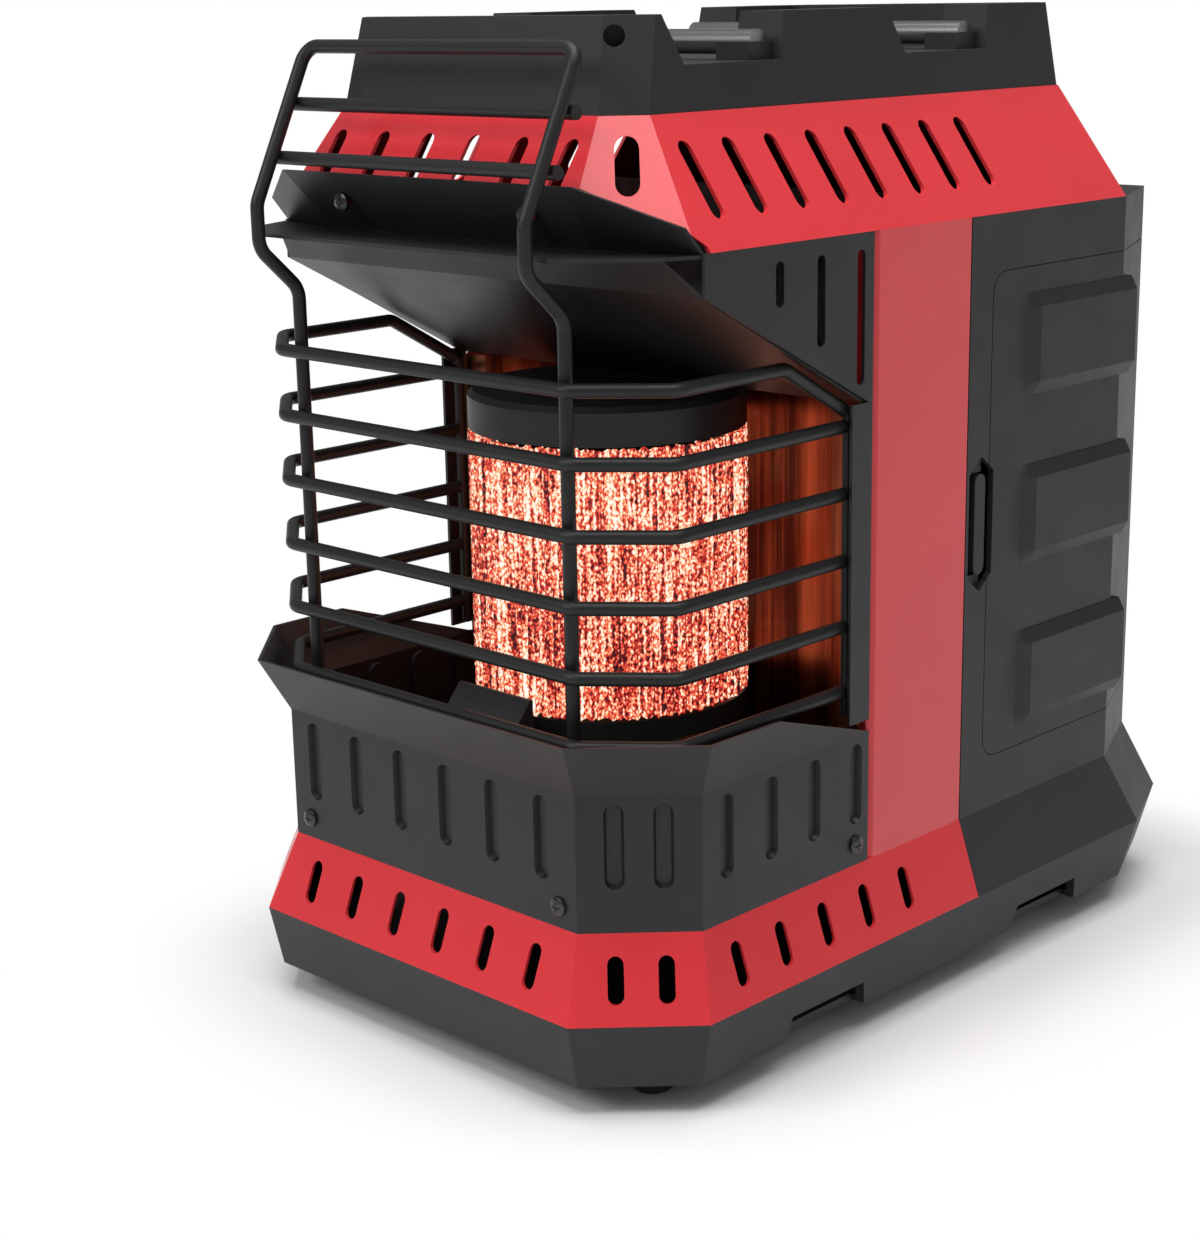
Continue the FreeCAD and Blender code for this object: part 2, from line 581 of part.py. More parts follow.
def side_panels():
    for name, sign in (("side_panel_left", -1), ("side_panel_right", 1)):
        body = new_body(name)
        face = "(overall_width / 2 - flare_side)"
        low, high = "panel_front_y", "split_y - seam"
        deep = "(%s - panel_return)" % face
        outline = [(deep, low), ("%s - panel_bevel" % face, low),
                   (face, "%s + panel_bevel" % low), (face, high), (deep, high),
                   (deep, "%s - sheet" % high), ("%s - sheet" % face, "%s - sheet" % high),
                   ("%s - sheet" % face, "%s + panel_bevel + 0.5" % low),
                   ("%s - panel_bevel - 0.5" % face, "%s + sheet" % low),
                   (deep, "%s + sheet" % low)]
        if sign < 0:
            outline = [("-(%s)" % across, up) for across, up in reversed(outline)]
        drawing = polygon(sketch(body, "XY_Plane", ("0", "0", "skirt_top_z")), outline)
        extrude(body, "Pad", drawing, "shoulder_low_z - skirt_top_z")


def side_flanges():
    for name, sign in (("side_flange_left", "-"), ("side_flange_right", "")):
        body = new_body(name)
        face = "overall_width / 2 - flare_side"
        outline = [(face, "flange_front_y"), (face, "flange_back_y"),
                   ("%s - sheet * 2.4" % face, "flange_back_y"),
                   ("%s - sheet * 2.4" % face, "flange_back_y - sheet"),
                   ("%s - sheet" % face, "flange_back_y - sheet"),
                   ("%s - sheet" % face, "flange_front_y")]
        outline = [("%s(%s)" % (sign, across), up) for across, up in outline]
        drawing = polygon(sketch(body, "XY_Plane", ("0", "0", "flange_low_z")), outline)
        extrude(body, "Pad", drawing, "gusset_low_z - flange_low_z")


def gussets():
    for name, sign in (("gusset_left", True), ("gusset_right", False)):
        body = new_body(name)
        base = "overall_width / 2 - flare_side"
        if sign:
            base = "flare_side - overall_width / 2"
        outline = [("gusset_front_y", "shoulder_low_z"), ("flange_back_y", "shoulder_low_z"),
                   ("flange_back_y", "gusset_low_z"),
                   ("flange_back_y - 2", "gusset_low_z"), ("gusset_front_y", "gusset_nose_z")]
        drawing = polygon(sketch(body, "YZ_Plane", ("0", "0", base)), outline)
        extrude(body, "Pad", drawing, "sheet", "One side", not sign)
        for i in range(3):
            long = "gusset_slot_short + %d * gusset_slot_grow" % i
            across = "gusset_slot_first_y + %d * gusset_slot_pitch" % i
            drawing = slot(sketch(body, "YZ_Plane"), across,
                           "gusset_slot_top_z - (%s) / 2" % long, long, "gusset_slot_width")
            through(body, drawing)


def partition():
    body = new_body("partition_plate")
    half = "overall_width / 2 - flare_side - panel_return - seam"
    base = ("0", "0", "-partition_y")
    outline = box_points("-(%s)" % half, half, "deck_z + deck_thick", "shoulder_low_z + 8")
    drawing = polygon(sketch(body, "XZ_Plane", base), outline)
    extrude(body, "Pad", drawing, "sheet")
    hole = sketch(body, "XZ_Plane", base)
    circle(hole, "-tube_x", "deck_z + deck_thick + tube_radius + tube_lift", "tube_radius + 1")
    through(body, hole)


def reflector():
    body = new_body("reflector")
    turn_x = "overall_width / 2 - flare_side - panel_return - 1.5"
    line = [("reflector_side_x", "reflector_side_y"), (turn_x, "reflector_side_y + 1"),
            ("reflector_mid_x", "reflector_mid_y"), ("reflector_back_x", "reflector_back_y")]
    outer = line + [("-(%s)" % across, up) for across, up in reversed(line)]
    inner = [("(%s) * 0.993" % across, "(%s) - reflector_sheet" % up) for across, up in outer]
    outline = outer + list(reversed(inner))
    drawing = polygon(sketch(body, "XY_Plane", ("0", "0", "reflector_low_z")), outline)
    extrude(body, "Pad", drawing, "gusset_low_z - reflector_low_z - 2")


# hood


def folded_sheet(facets, depth):
    """Sheet metal from flat facets, each thickened along the same direction."""
    plates = []
    for facet in facets:
        wire = Part.makePolygon(facet + facet[:1])
        plates.append(Part.Face(wire).extrude(depth))
    shape = plates[0]
    if len(plates) > 1:
        shape = plates[0].multiFuse(plates[1:])
    return shape.removeSplitter()


def hood_visor():
    top, half = size("visor_top_z"), size("visor_half_width")
    front = size("visor_front_y")
    low = size("deflector_z") + size("sheet") + size("seam")
    side_x = size("overall_width") / 2 - size("flare_side") - size("sheet") - size("seam")
    facets = []
    nose = [V(-half, front, top), V(half, front, top),
            V(size("visor_foot_x"), size("visor_foot_y"), low),
            V(-size("visor_foot_x"), size("visor_foot_y"), low)]
    facets.append(nose)
    for side in (-1, 1):
        corner = V(side * size("visor_side_x"), size("visor_side_y"), size("visor_side_z"))
        foot = V(side * size("visor_foot_x"), size("visor_foot_y"), low)
        facets.append([V(side * half, front, top), corner, foot])
        facets.append([corner, V(side * side_x, size("gusset_front_y"), low), foot])
    shape = folded_sheet(facets, V(0, size("sheet") * 1.3, 0))
    for side in (-1, 1):
        spot = hood_screw_spot(side) - V(0, size("screw_length"), 0)
        radius = size("screw_shank_radius") + size("running_fit")
        shape = shape.cut(Part.makeCylinder(radius, 3 * size("screw_length"), spot, V(0, 1, 0)))
    code_part("hood_visor", shape)


def hood_deflector():
    z, fold = size("deflector_z"), size("deflector_fold_y")
    half = size("overall_width") / 2 - size("flare_side") - size("sheet") - size("seam")
    nose_y, nose_z = size("gusset_front_y"), size("gusset_nose_z")
    back_y, low = size("flange_back_y") - 2, size("gusset_low_z") - size("sheet")
    lip_y, lip_x = size("deflector_lip_y"), size("deflector_lip_half")
    corner_x, corner_y = size("deflector_corner_x"), size("deflector_corner_y")
    lip = [V(-lip_x, lip_y, z), V(lip_x, lip_y, z), V(corner_x, corner_y, z),
           V(half, nose_y, z), V(half - 8, fold + 14, z), V(8 - half, fold + 14, z),
           V(-half, nose_y, z), V(-corner_x, corner_y, z)]
    band = [V(8 - half, fold, z), V(half - 8, fold, z),
            V(half, nose_y, nose_z), V(-half, nose_y, nose_z)]
    slope = [V(-half, nose_y, nose_z), V(half, nose_y, nose_z),
             V(half, back_y, low), V(-half, back_y, low)]
    up = V(0, 0, size("sheet"))
    shape = folded_sheet([lip, slope], up).fuse(folded_sheet([band], up))
    code_part("hood_deflector", shape.removeSplitter())


# wire guard


def bent_wire(points, radius, bend):
    """Round wire along straight runs joined by tangent arcs, of one bend or a list."""
    edges = []
    start = points[0]
    bends = bend if isinstance(bend, list) else [bend] * (len(points) - 2)
    for before, corner, after, bend in zip(points, points[1:], points[2:], bends):
        into, out = (corner - before).normalize(), (after - corner).normalize()
        turn = into.getAngle(out)
        reach = bend * math.tan(turn / 2)
        arc_start, arc_end = corner - into * reach, corner + out * reach
        inward = (out - into).normalize()
        middle = corner + inward * (bend / math.cos(turn / 2) - bend)
        edges.append(Part.LineSegment(start, arc_start).toShape())
        edges.append(Part.Arc(arc_start, middle, arc_end).toShape())
        start = arc_end
    edges.append(Part.LineSegment(start, points[-1]).toShape())
    path = Part.Wire(edges)
    first = (points[1] - points[0]).normalize()
    section = Part.Wire([Part.makeCircle(radius, points[0], first)])
    return path.makePipeShell([section], True, False)


def mirrored_points(points):
    return points + [V(-p.x, p.y, p.z) for p in reversed(points)]


def wire_guard():
    wire = size("wire")
    x, y = size("guard_x"), size("guard_y")
    upright = [V(x, y, size("guard_foot_z")), V(x, y, size("guard_kick_z")),
               V(x, size("guard_nose_y"), size("guard_nose_low_z")),
               V(x, size("guard_nose_y"), size("guard_nose_z")),
               V(x, size("guard_top_y"), size("guard_top_z"))]
    bends = [size("guard_bend")] * 3 + [size("guard_corner_bend")]
    frame = bent_wire(mirrored_points(upright), wire / 2, bends + bends[::-1])
    code_part("guard_frame", frame)
    side_x, end_y = size("ring_side_x"), size("ring_end_y")
    ring_y = y - wire - size("weld_gap")
    for i in range(int(size("ring_count"))):
        z = size("ring_top_z") - i * size("ring_pitch")
        run = [V(side_x, end_y, z), V(side_x, size("ring_corner_y"), z),
               V(size("ring_corner_x"), ring_y, z)]
        if i == 0:
            run[:1] = [V(side_x, end_y, size("hood_ring_end_z")),
                       V(side_x, size("hood_ring_turn_y"), z)]
        code_part("guard_ring_%d" % (i + 1),
                  bent_wire(mirrored_points(run), wire / 2, size("ring_bend")))
    bars = []
    rise = size("guard_top_z") - size("guard_nose_z")
    slant = math.hypot(size("guard_top_y") - size("guard_nose_y"), rise) / rise
    for name in ("bar_low_z", "bar_high_z"):
        z = size(name)
        lean = (z - size("guard_nose_z")) / rise
        bar_y = size("guard_nose_y") + lean * (size("guard_top_y") - size("guard_nose_y"))
        start = V(-size("bar_half"), bar_y + (wire + size("weld_gap")) * slant, z)
        bars.append(Part.makeCylinder(wire / 2, 2 * size("bar_half"), start, V(1, 0, 0)))
    code_part("guard_bars", Part.makeCompound(bars))
    post = wire / 2 - 0.6
    posts = []
    for side in (-1, 1):
        spot = V(side * side_x, end_y + post + size("weld_gap"), size("flange_low_z") + 2)
        posts.append(Part.makeCylinder(post, size("gusset_low_z") - spot.z - 3, spot))
    code_part("guard_posts", Part.makeCompound(posts))


# burner


def turned(name, profile, y="0"):
    body = new_body(name)
    revolve(body, polygon(sketch(body, "XZ_Plane"), profile))
    place(body, V(0, number(y), 0), FreeCAD.Rotation())
    return body


def burner():
    r, low, top = "burner_radius", "burner_low_z", "burner_top_z"
    inner = "burner_radius - burner_wall"
    turned("burner_mesh", [(inner, low), (r, low), (r, top), (inner, top)], "burner_y")
    core = "burner_radius - burner_wall - flame_gap"
    turned("burner_core", [("0", low), (core, low), (core, "%s - 3" % top),
                           ("0", "%s - 3" % top)], "burner_y")
    cap_top = "%s + cap_height" % top
    over = "%s - cap_under" % r
    turned("burner_cap", [("0", "%s - sheet" % cap_top), ("0", cap_top),
                          ("%s - 2" % over, cap_top), (over, "%s - 2" % cap_top), (over, top),
                          (inner, top), (inner, "%s + sheet" % top),
                          ("%s - sheet" % over, "%s + sheet" % top),
                          ("%s - sheet" % over, "%s - sheet" % cap_top)], "burner_y")
    base_low = "%s - base_ring_height" % low
    turned("burner_base", [("0", base_low), (over, base_low), (over, low), ("0", low)],
           "burner_y")
    floor = "deck_z + deck_thick"
    turned("burner_throat", [("throat_radius - 5", floor), ("throat_radius", floor),
                             ("throat_radius - 3", base_low), ("throat_radius - 8", base_low)],
           "burner_y")


def pilot_parts():
    x, y, z = size("pilot_x"), size("pilot_y"), size("pilot_top_z")
    half, slope, low = size("pilot_half"), size("pilot_slope"), z - size("pilot_fall")
    floor = size("deck_z") + size("deck_thick")
    shield = [[V(x - half, y - slope, low), V(x + half, y - slope, low),
               V(x + half, y, z), V(x - half, y, z)],
              [V(x - half, y - slope, low), V(x + half, y - slope, low),
               V(x + half, y - slope, floor), V(x - half, y - slope, floor)]]
    shape = folded_sheet(shield, V(0, -size("sheet"), 0))
    side = [V(x + half, y - slope, low), V(x + half, y, z), V(x + half, y, floor),
            V(x + half, y - slope, floor)]
    wing = folded_sheet([side], V(-size("sheet"), 0, 0))
    code_part("pilot_shield", shape.fuse(wing).removeSplitter())
    radius, nozzle = size("electrode_radius"), size("nozzle_radius")
    row, top = y + nozzle + size("seam"), z - size("nozzle_drop")
    stand = V(x - 2 * nozzle, row, floor)
    tube = Part.makeCylinder(nozzle, top - floor, stand)
    cone = Part.makeCone(nozzle, nozzle * 0.6, nozzle, stand + V(0, 0, top - floor))
    code_part("pilot_burner", tube.fuse(cone))
    insulator = Part.makeCylinder(radius * 2, (top - floor) / 2, V(x + nozzle, row, floor))
    tip = Part.makeCylinder(radius / 2, top - floor, V(x + nozzle, row, floor))
    code_part("spark_electrode", insulator.fuse(tip))
    code_part("thermocouple", Part.makeCylinder(radius, top - floor, V(x + 3 * nozzle, row, floor)))


# top


def upper_shoulder():
    body = new_body("upper_shoulder")
    levels = ("shoulder_low_z", "shoulder_top_z")
    loft(body, "Additive", [(levels[0], shoulder_foot_ring()), (levels[1], shoulder_ring())])
    loft(body, "Subtractive", [(levels[0], shoulder_foot_ring("sheet * 1.4")),
                               (levels[1], shoulder_ring("sheet * 1.4"))])
    nose = "(flare_end - overall_length / 2 - 10)"
    back = "gusset_front_y + wedge_back"
    rise = "shoulder_low_z + wedge_nose + shoulder_slope * (gusset_front_y - %s)" % nose
    wedge = [(back, "shoulder_low_z - 1"), (back, "shoulder_low_z + wedge_rise"),
             (nose, rise), (nose, "shoulder_low_z - 1")]
    through(body, polygon(sketch(body, "YZ_Plane"), wedge))
    front = ("0", "0", "overall_length / 2")
    drawing = slot(sketch(body, "XZ_Plane", front), "shoulder_slot_x", "shoulder_slot_z",
                   "shoulder_slot_length", "shoulder_slot_width")
    cut = extrude(body, "Pocket", drawing, "corner_cut * 2")
    repeat(body, cut, "X_Axis", "shoulder_slot_pitch", 6)
    drawing = slot(sketch(body, "YZ_Plane"), "shoulder_side_slot_y", "shoulder_side_slot_z",
                   "shoulder_slot_length", "shoulder_slot_width")
    cut = through(body, drawing)
    repeat(body, cut, "Y_Axis", "shoulder_side_slot_pitch", 8)
    across = "overall_width / 2 - flare_side - corner_cut / 2"
    cut = corner_cutter(body, across, "corner_slot_z", ("0",), "corner_slot_length",
                        "corner_slot_width", "corner_cut * 3")
    mirror(body, cut)
    holes = sketch(body, "XY_Plane", slope_base(), V(1, 0, 0), slope_turn())
    circle(holes, "knob_x", "0", "stem_radius + running_fit * 2")
    circle(holes, "igniter_x", "0", "igniter_radius + running_fit")
    extrude(body, "Pocket", holes, "20", "Symmetric")
    return body


def slope_base():
    """Middle of the sloped panel at the back, as formulas."""
    rear = "(overall_length / 2 - flare_end)"
    return ("0", "(%s + shoulder_top_rear) / 2" % rear, "(shoulder_low_z + shoulder_top_z) / 2")


def slope_turn():
    rear = "(overall_length / 2 - flare_end)"
    return "-atan2(shoulder_top_z - shoulder_low_z; %s - shoulder_top_rear)" % rear


def slope_frame(x):
    """Place and turn of a piece that stands square on the rear slope."""
    base = slope_base()
    rear = size("overall_length") / 2 - size("flare_end") - size("shoulder_top_rear")
    turn = math.degrees(math.atan2(size("shoulder_top_z") - size("shoulder_low_z"), rear))
    return V(x, number(base[1]), number(base[2])), FreeCAD.Rotation(V(1, 0, 0), -turn)


def top_cover():
    body = new_body("top_cover")
    levels = ("shoulder_top_z", "overall_height")
    loft(body, "Additive", [(levels[0], shoulder_ring("cover_inset")),
                            (levels[1], cover_ring())])
    floor = "tray_z - tray_floor"
    loft(body, "Subtractive", [(levels[0], shoulder_ring("cover_inset + moulded_wall")),
                               (floor, cover_ring("moulded_wall + 2"))])
    loft(body, "Subtractive", [("tray_z", cover_ring("cover_rim + 1")),
                               (levels[1], cover_ring("cover_rim"))])
    for start in ("notch_first_y", "notch_second_y"):
        end = "%s + notch_length" % start
        outline = [(start, "overall_height + 1"), ("%s + notch_front_slope" % start, "tray_z"),
                   ("%s - notch_back_slope" % end, "tray_z"), (end, "overall_height + 1")]
        through(body, polygon(sketch(body, "YZ_Plane"), outline))
    for start in ("notch_first_y", "notch_second_y"):
        middle = "%s + notch_length - bar_back" % start
        drawing = sketch(body, "XY_Plane", ("0", "0", floor))
        edge = "cover_top_half - bar_end_gap + 1"
        for sign in ("", "-"):
            pair = ["%s(%s)" % (sign, edge), "%s(%s - saddle_length)" % (sign, edge)]
            if sign:
                pair.reverse()
            polygon(drawing, box_points(pair[1], pair[0], "%s - saddle_width / 2" % middle,
                                        "%s + saddle_width / 2" % middle))
        extrude(body, "Pad", drawing, "bar_seat_z - tray_z + tray_floor")
        groove = circle(sketch(body, "YZ_Plane"), middle, "bar_seat_z", "bar_radius")
        extrude(body, "Pocket", groove, "2 * (cover_top_half - bar_end_gap)", "Symmetric")
    corner = ("cover_top_half - cover_top_cut / 2", "overall_height - cover_hole_drop",
              "-cover_top_front - cover_top_cut / 2")
    hole = sketch(body, "XZ_Plane", corner, V(0, 1, 0), "45")
    circle(hole, "-cover_hole_shift", "0", "cover_hole_radius")
    item = extrude(body, "Pocket", hole, "12", "Symmetric")
    mirror(body, item)
    return body


def carry_bars():
    for name, start in (("carry_bar_front", "notch_first_y"), ("carry_bar_rear", "notch_second_y")):
        body = new_body(name)
        middle = "%s + notch_length - bar_back" % start
        drawing = circle(sketch(body, "YZ_Plane"), middle, "bar_seat_z", "bar_radius")
        extrude(body, "Pad", drawing, "2 * (cover_top_half - bar_end_gap)", "Symmetric")


# rear


def rounded_box(low_y, high_y, low_z, high_z, radius):
    """Box outline whose two front corners are rounded with short facets."""
    steps = 4
    points = [(high_y, low_z), (high_y, high_z)]
    for i in range(steps + 1):
        angle = 90 * i / steps
        points.append(("(%s) + (%s) * (1 - sin(%g))" % (low_y, radius, angle),
                       "(%s) - (%s) * (1 - cos(%g))" % (high_z, radius, angle)))
    for i in range(steps + 1):
        angle = 90 * i / steps
        points.append(("(%s) + (%s) * (1 - cos(%g))" % (low_y, radius, angle),
                       "(%s) + (%s) * (1 - sin(%g))" % (low_z, radius, angle)))
    return points


def latch_outline():
    """Upright six sided recess for the door catch."""
    front, back, low, high = "latch_front_y", "latch_back_y", "latch_low_z", "latch_top_z"
    middle = "(latch_front_y + latch_back_y) / 2"
    return [(middle, low), (back, "%s + latch_nose" % low), (back, "%s - latch_nose" % high),
            (middle, high), (front, "%s - latch_nose" % high), (front, "%s + latch_nose" % low)]


def latch_cut(body):
    base = ("0", "0", "overall_width / 2 - flare_side - latch_depth")
    drawing = polygon(sketch(body, "YZ_Plane", base), latch_outline())
    return extrude(body, "Pocket", drawing, "latch_depth * 3", "One side", True)


def rear_housing():
    body = new_body("rear_housing")
    loft(body, "Additive", [("skirt_low_z", flare_ring()), ("skirt_top_z", wall_ring()),
                            ("shoulder_low_z", wall_ring())])
    loft(body, "Subtractive", [("skirt_low_z", flare_ring("moulded_wall")),
                               ("skirt_top_z", wall_ring("moulded_wall")),
                               ("shoulder_low_z", wall_ring("moulded_wall"))])
    face, rear = "(overall_width / 2 - flare_side)", "(overall_length / 2 - flare_end)"
    ledge = [("%s - 1" % face, "%s - tail_cut_end" % rear),
             ("%s - tail_cut_side - 1" % face, "%s - 1" % rear),
             ("%s - shoulder_tail_side - 3 * sheet" % face, "%s - 1" % rear),
             ("%s - 2 * moulded_wall" % face, "%s - tail_cut_end - 3 * sheet" % rear)]
    drawing = polygon(sketch(body, "XY_Plane", ("0", "0", "shoulder_low_z - moulded_wall")),
                      ledge)
    mirror(body, extrude(body, "Pad", drawing, "moulded_wall"))
    front = box_points("-overall_width", "overall_width", "-overall_length", "split_y + seam")
    through(body, polygon(sketch(body, "XY_Plane"), front))
    opening = rounded_box("strip_back_y", "overall_length", "door_low_z", "door_top_z",
                          "door_corner")
    through(body, polygon(sketch(body, "YZ_Plane"), opening))
    latch_cut(body)
    return body


def rear_door():
    body = new_body("rear_door")
    low, high = "door_low_z + seam", "door_top_z - seam"
    loft(body, "Additive", [(low, wall_ring()), (high, wall_ring())])
    outer, full = pad_ring("pad_edge"), pad_ring("pad_rise")
    start = "pad_first_z"
    stop = "pad_first_z + pad_height"
    pads = loft(body, "Additive", [(start, outer), ("%s + pad_slope" % start, full),
                                   ("%s - pad_slope" % stop, full), (stop, outer)])
    repeat(body, pads, "Z_Axis", "pad_pitch", 3)
    loft(body, "Subtractive", [(low, wall_ring("moulded_wall")),
                               (high, wall_ring("moulded_wall"))])
    keep = rounded_box("strip_back_y + hinge_seam", "overall_length", low, high,
                       "door_corner - seam")
    drawing = polygon(sketch(body, "YZ_Plane"), keep)
    around = box_points("-overall_length", "2 * overall_length", "0", "overall_height")
    through(body, polygon(drawing, around))
    latch_cut(body)
    return body


def pad_ring(rise):
    """Plan of the raised pads: flush in front, flat and proud along the side."""
    half = "(overall_width / 2 - flare_side)"
    right = [("%s - 1" % half, "pad_start_y"), (half, "pad_start_y"),
             ("%s + (%s)" % (half, rise), "pad_full_y"),
             ("%s + (%s)" % (half, rise), "pad_end_y"),
             ("%s - 2 * moulded_wall" % half, "pad_end_y")]
    left = [("-(%s)" % across, up) for across, up in reversed(right)]
    return right + left


def latch_cup():
    """Moulded cup that closes the recess behind the catch."""
    body = new_body("latch_cup")
    face = "overall_width / 2 - flare_side"
    floor = "%s - latch_depth - moulded_wall - 3" % face
    drawing = polygon(sketch(body, "YZ_Plane", ("0", "0", floor)),
                      box_points("split_y + 1", "strip_back_y - 1.5",
                                 "latch_low_z - 2", "latch_top_z + 2"))
    extrude(body, "Pad", drawing, "latch_depth + 3")
    low = "%s - latch_depth - 3" % face
    middle = "(latch_front_y + latch_back_y) / 2"
    hollow = box_points("%s - catch_width / 2 - catch_travel - seam" % middle,
                        "strip_back_y", "(latch_low_z + latch_top_z) / 2 - catch_length / 2 - seam",
                        "(latch_low_z + latch_top_z) / 2 + catch_length / 2 + seam")
    drawing = polygon(sketch(body, "YZ_Plane", ("0", "0", low)), hollow)
    extrude(body, "Pocket", drawing, "latch_depth * 2", "One side", True)


def door_catch():
    body = new_body("door_catch")
    middle = "(latch_front_y + latch_back_y) / 2"
    centre = "(latch_low_z + latch_top_z) / 2"
    drawing = slot(sketch(body, "YZ_Plane", ("0", "0", "catch_x - catch_thick / 2")),
                   middle, centre, "catch_length", "catch_width")
    extrude(body, "Pad", drawing, "catch_thick")


def door_hinges():
    radius, length = size("knuckle_radius"), size("knuckle_length")
    gap, pin_radius = size("knuckle_gap"), size("hinge_pin_radius")
    x = -size("hinge_x")
    y = size("strip_back_y") + size("hinge_seam") / 2
    wall_x = -(size("overall_width") / 2 - size("flare_side"))
    leaf = size("hinge_leaf")
    fixed, swing, pins = [], [], []
    for z in (size("hinge_low_z"), size("hinge_top_z")):
        for i in range(3):
            low = z + i * (length + gap)
            knuckle = Part.makeCylinder(radius, length, V(x, y, low))
            bore = Part.makeCylinder(pin_radius + size("running_fit") / 2, length, V(x, y, low))
            way = 1 if i == 1 else -1
            start_y = y if way > 0 else y - size("leaf_width")
            plate = Part.makeBox(abs(x - wall_x), size("leaf_width"), length,
                                 V(x, start_y, low))
            trim = Part.makeBox(abs(x - wall_x) - leaf, size("leaf_width") * 2, length,
                                V(x, start_y - size("leaf_width") / 2, low))
            plate = plate.cut(trim) if leaf < abs(x - wall_x) else plate
            (swing if i == 1 else fixed).append(knuckle.fuse(plate).cut(bore))
        full = 3 * length + 2 * gap
        pin_shape = Part.makeCylinder(pin_radius, full, V(x, y, z))
        head = Part.makeCylinder(pin_radius + 1, 1.2, V(x, y, z + full))
        pins.append(pin_shape.fuse(head))
    code_part("hinge_knuckles_housing", Part.makeCompound(fixed))
    code_part("hinge_knuckles_door", Part.makeCompound(swing))
    code_part("hinge_pins", Part.makeCompound(pins))


# controls


def controls():
    place_at, turn = slope_frame(size("knob_x"))
    knob = new_body("control_knob")
    low, high = "knob_gap", "knob_gap + knob_height"
    profile = [("stem_radius", low), ("knob_radius", low), ("knob_radius", "%s + 3" % low),
               ("knob_radius - 2.5", "%s + 4" % low), ("knob_radius - 4", "%s - 1.5" % high),
               ("knob_radius - 5.5", high), ("0", high), ("0", "%s - 6" % high),
               ("stem_radius", "%s - 6" % high)]
    revolve(knob, polygon(sketch(knob, "XZ_Plane"), profile))
    grip = polygon(sketch(knob, "XY_Plane", ("0", "0", high)),
                   box_points("-2", "2", "-knob_radius + 4", "knob_radius - 4"))
    extrude(knob, "Pad", grip, "3")
    place(knob, place_at, turn)
    stem = new_body("control_stem")
    drawing = circle(sketch(stem, "XY_Plane", ("0", "0", "%s - 6 - seam - stem_length" % high)),
                     "0", "0", "stem_radius - running_fit")
    extrude(stem, "Pad", drawing, "stem_length")
    place(stem, place_at, turn)
    valve = new_body("gas_valve")
    top = "-valve_gap"
    side = "valve_width / 2"
    drawing = polygon(sketch(valve, "XY_Plane", ("0", "0", top)),
                      box_points("-(%s)" % side, side, "-(%s)" % side, side))
    extrude(valve, "Pad", drawing, "valve_depth", "One side", True)
    bore = circle(sketch(valve, "XY_Plane", ("0", "0", top)), "0", "0", "stem_radius + running_fit")
    extrude(valve, "Pocket", bore, "valve_depth - 3")
    neck = sketch(valve, "XY_Plane", ("0", "0", top))
    circle(neck, "0", "0", "stem_radius + 3.5")
    circle(neck, "0", "0", "stem_radius + running_fit")
    extrude(valve, "Pad", neck, "valve_gap - sheet * 2 - seam")
    place(valve, place_at, turn)
    place_at, turn = slope_frame(size("igniter_x"))
    body = new_body("igniter_body")
    depth = "-igniter_depth"
    bore = "button_radius + running_fit"
    profile = [("0", depth), ("igniter_radius - 1", depth), ("igniter_radius", "%s + 1" % depth),
               ("igniter_radius", "0"), ("igniter_collar", "0"), ("igniter_collar", "1.5"),
               ("igniter_collar - 1", "2.5"), (bore, "2.5"),
               (bore, "2.5 - button_height - button_travel"), ("0", "2.5 - button_height - button_travel")]
    revolve(body, polygon(sketch(body, "XZ_Plane"), profile))
    place(body, place_at, turn)
    button = new_body("igniter_button")
    low, high = "2.5 + button_travel - button_height - 4", "2.5 + button_travel + 0.5"
    profile = [("0", low), ("button_radius", low), ("button_radius", "%s - 1.2" % high),
               ("button_radius - 1.2", high), ("0", high)]
    revolve(button, polygon(sketch(button, "XZ_Plane"), profile))
    place(button, place_at, turn)


